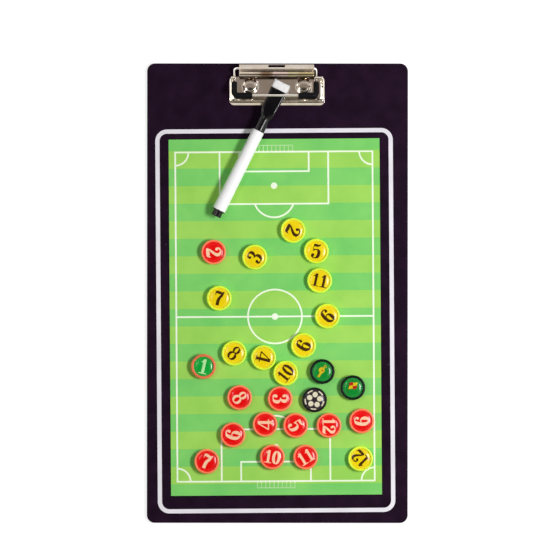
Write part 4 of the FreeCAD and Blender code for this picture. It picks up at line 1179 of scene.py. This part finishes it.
studio = {"floorHalf": 4.0, "floorLevel": -0.0006, "floorTone": 0.36, "floorGlow": 0.78, "zenithLean": -0.14,
          "mattShare": 0.28, "pitchShare": 0.2, "lampTint": (1.0, 0.95, 1.0)}
roomTones = {"zenith": (0.05, 0.046, 0.042), "overhead": (0.285, 0.24, 0.215), "highBack": (0.76, 0.71, 0.68),
             "highFront": (0.8, 0.75, 0.68), "sides": (1.9, 1.87, 1.83), "back": (1.25, 1.17, 1.06),
             "front": (0.5, 0.46, 0.4), "pitchGlow": (0.35, 0.95, 0.3), "white": (1.0, 1.0, 1.0)}
# where one part of the room passes into the next, along the direction's own X, Y and Z
roomBands = {"behind": (-0.25, 0.25), "aside": (0.35, 0.75), "overhead": (0.8, 0.93), "zenith": (0.945, 0.965),
             "walls": (0.7, 0.45)}
lampPlaces = {
    "lampRight": {"at": (0.64, -0.03, 1.0), "size": (0.2, 0.42), "power": 12.0},
    "lampLeft": {"at": (-0.5, 0.14, 1.05), "size": (0.2, 0.3), "power": 1.7},
}
cameraView = {"at": (2.33, 11.9, 8000.0), "turn": (0.0, 0.0, 0.04), "lens": 570.5, "sensor": 36.0}


def makeFloor(scene):
    half, tone = studio["floorHalf"], studio["floorTone"]
    lines = np.linspace(-half, half, 9)
    x, y = np.meshgrid(lines, lines, indexing="ij")
    points, faces, _ = gridPatch(np.stack([x, y, np.full(x.shape, studio["floorLevel"])], -1), wrapColumns=False)
    mesh = bpy.data.meshes.new("floor")
    mesh.from_pydata(points.tolist(), [], faces)
    mesh.flip_normals()
    floor = bpy.data.objects.new("floor", mesh)
    scene.collection.objects.link(floor)

    # seen by the camera, by gloss and through glass the floor glows white, and its own matt share keeps the shadow
    finish, tree, matt, _ = newFinish("floor_paper")
    matt.inputs["Base Color"].default_value = (tone, tone, tone, 1.0)
    matt.inputs["Roughness"].default_value = 0.9
    path = addNode(tree, "LightPath").outputs
    seen = maths(tree, "MAXIMUM", path["Is Glossy Ray"], path["Is Transmission Ray"])
    seen = maths(tree, "MAXIMUM", path["Is Camera Ray"], seen)
    glow = addNode(tree, "Emission", {"Strength": maths(tree, "MULTIPLY", seen, studio["floorGlow"])})
    both = addNode(tree, "AddShader", {0: matt.outputs[0], 1: glow.outputs[0]})
    tree.links.new(both.outputs[0], tree.nodes["Material Output"].inputs["Surface"])
    mesh.materials.append(finish)


def makeRoom(scene):
    # a dark patch just before the zenith, dim round it and lighter farther down; bright walls to either side,
    # a less bright one behind the board and a dim one before it
    world = bpy.data.worlds.new("room")
    world.use_nodes = True
    scene.world = world
    tree = world.node_tree
    tones = {name: (*tone, 1.0) for name, tone in roomTones.items()}
    x, y, z = addNode(tree, "SeparateXYZ", {0: addNode(tree, "TexCoord").outputs["Generated"]}).outputs
    behind = mapRange(tree, y, *roomBands["behind"])
    aside = mapRange(tree, maths(tree, "ABSOLUTE", x), *roomBands["aside"])
    ends = mixColour(tree, behind, tones["front"], tones["back"])
    walls = mixColour(tree, aside, ends, tones["sides"])
    high = mixColour(tree, behind, tones["highFront"], tones["highBack"])
    tone = mixColour(tree, mapRange(tree, z, *roomBands["overhead"]), high, tones["overhead"])
    toPatch = maths(tree, "MULTIPLY_ADD", y, studio["zenithLean"], maths(tree, "MULTIPLY", z, 0.99))
    tone = mixColour(tree, mapRange(tree, toPatch, *roomBands["zenith"]), tone, tones["zenith"])
    tone = mixColour(tree, mapRange(tree, z, *roomBands["walls"]), tone, walls)
    # what matt surfaces gather from the room is dimmer, so that the lamps' shadows stay deep
    path = addNode(tree, "LightPath").outputs
    bright = maths(tree, "MAXIMUM", path["Is Glossy Ray"], path["Is Transmission Ray"])
    strength = mapRange(tree, bright, 0.0, 1.0, studio["mattShare"], 1.0)
    # and a little of it is green, thrown back by the pitch
    greenish = mapRange(tree, bright, 0.0, 1.0, studio["pitchShare"], 0.0)
    tone = mixColour(tree, greenish, tone, tones["pitchGlow"])
    tone = mixColour(tree, path["Is Camera Ray"], tone, tones["white"])
    light = tree.nodes["Background"].inputs
    tree.links.new(tone, light["Color"])
    tree.links.new(maths(tree, "MAXIMUM", strength, path["Is Camera Ray"]), light["Strength"])


def makeLamps(scene):
    # each lamp looks at the middle of the board
    for name, place in lampPlaces.items():
        lamp = bpy.data.lights.new(name, "AREA")
        lamp.shape = "RECTANGLE"
        lamp.size, lamp.size_y = place["size"]
        lamp.energy = place["power"]
        lamp.color = studio["lampTint"]
        holder = bpy.data.objects.new(name, lamp)
        forward = unit(-np.array(place["at"]))
        across = unit(np.cross(forward, [0, 1, 0]))
        columns = [across, np.cross(across, forward), -forward, place["at"]]
        holder.matrix_world = [[*column, end] for column, end in zip(columns, (0, 0, 0, 1))]
        holder.visible_camera = False
        scene.collection.objects.link(holder)


def makeStudio():
    scene = bpy.context.scene
    scene.view_settings.view_transform = "Standard"
    makeFloor(scene)
    makeRoom(scene)
    makeLamps(scene)
    view = bpy.data.cameras.new("topView")
    view.lens = cameraView["lens"]
    view.sensor_width = cameraView["sensor"]
    camera = bpy.data.objects.new("topView", view)
    camera.location = [value * mm for value in cameraView["at"]]
    camera.rotation_euler = [math.radians(value) for value in cameraView["turn"]]
    scene.collection.objects.link(camera)
    scene.camera = camera


makeStudio()
print("studio set")
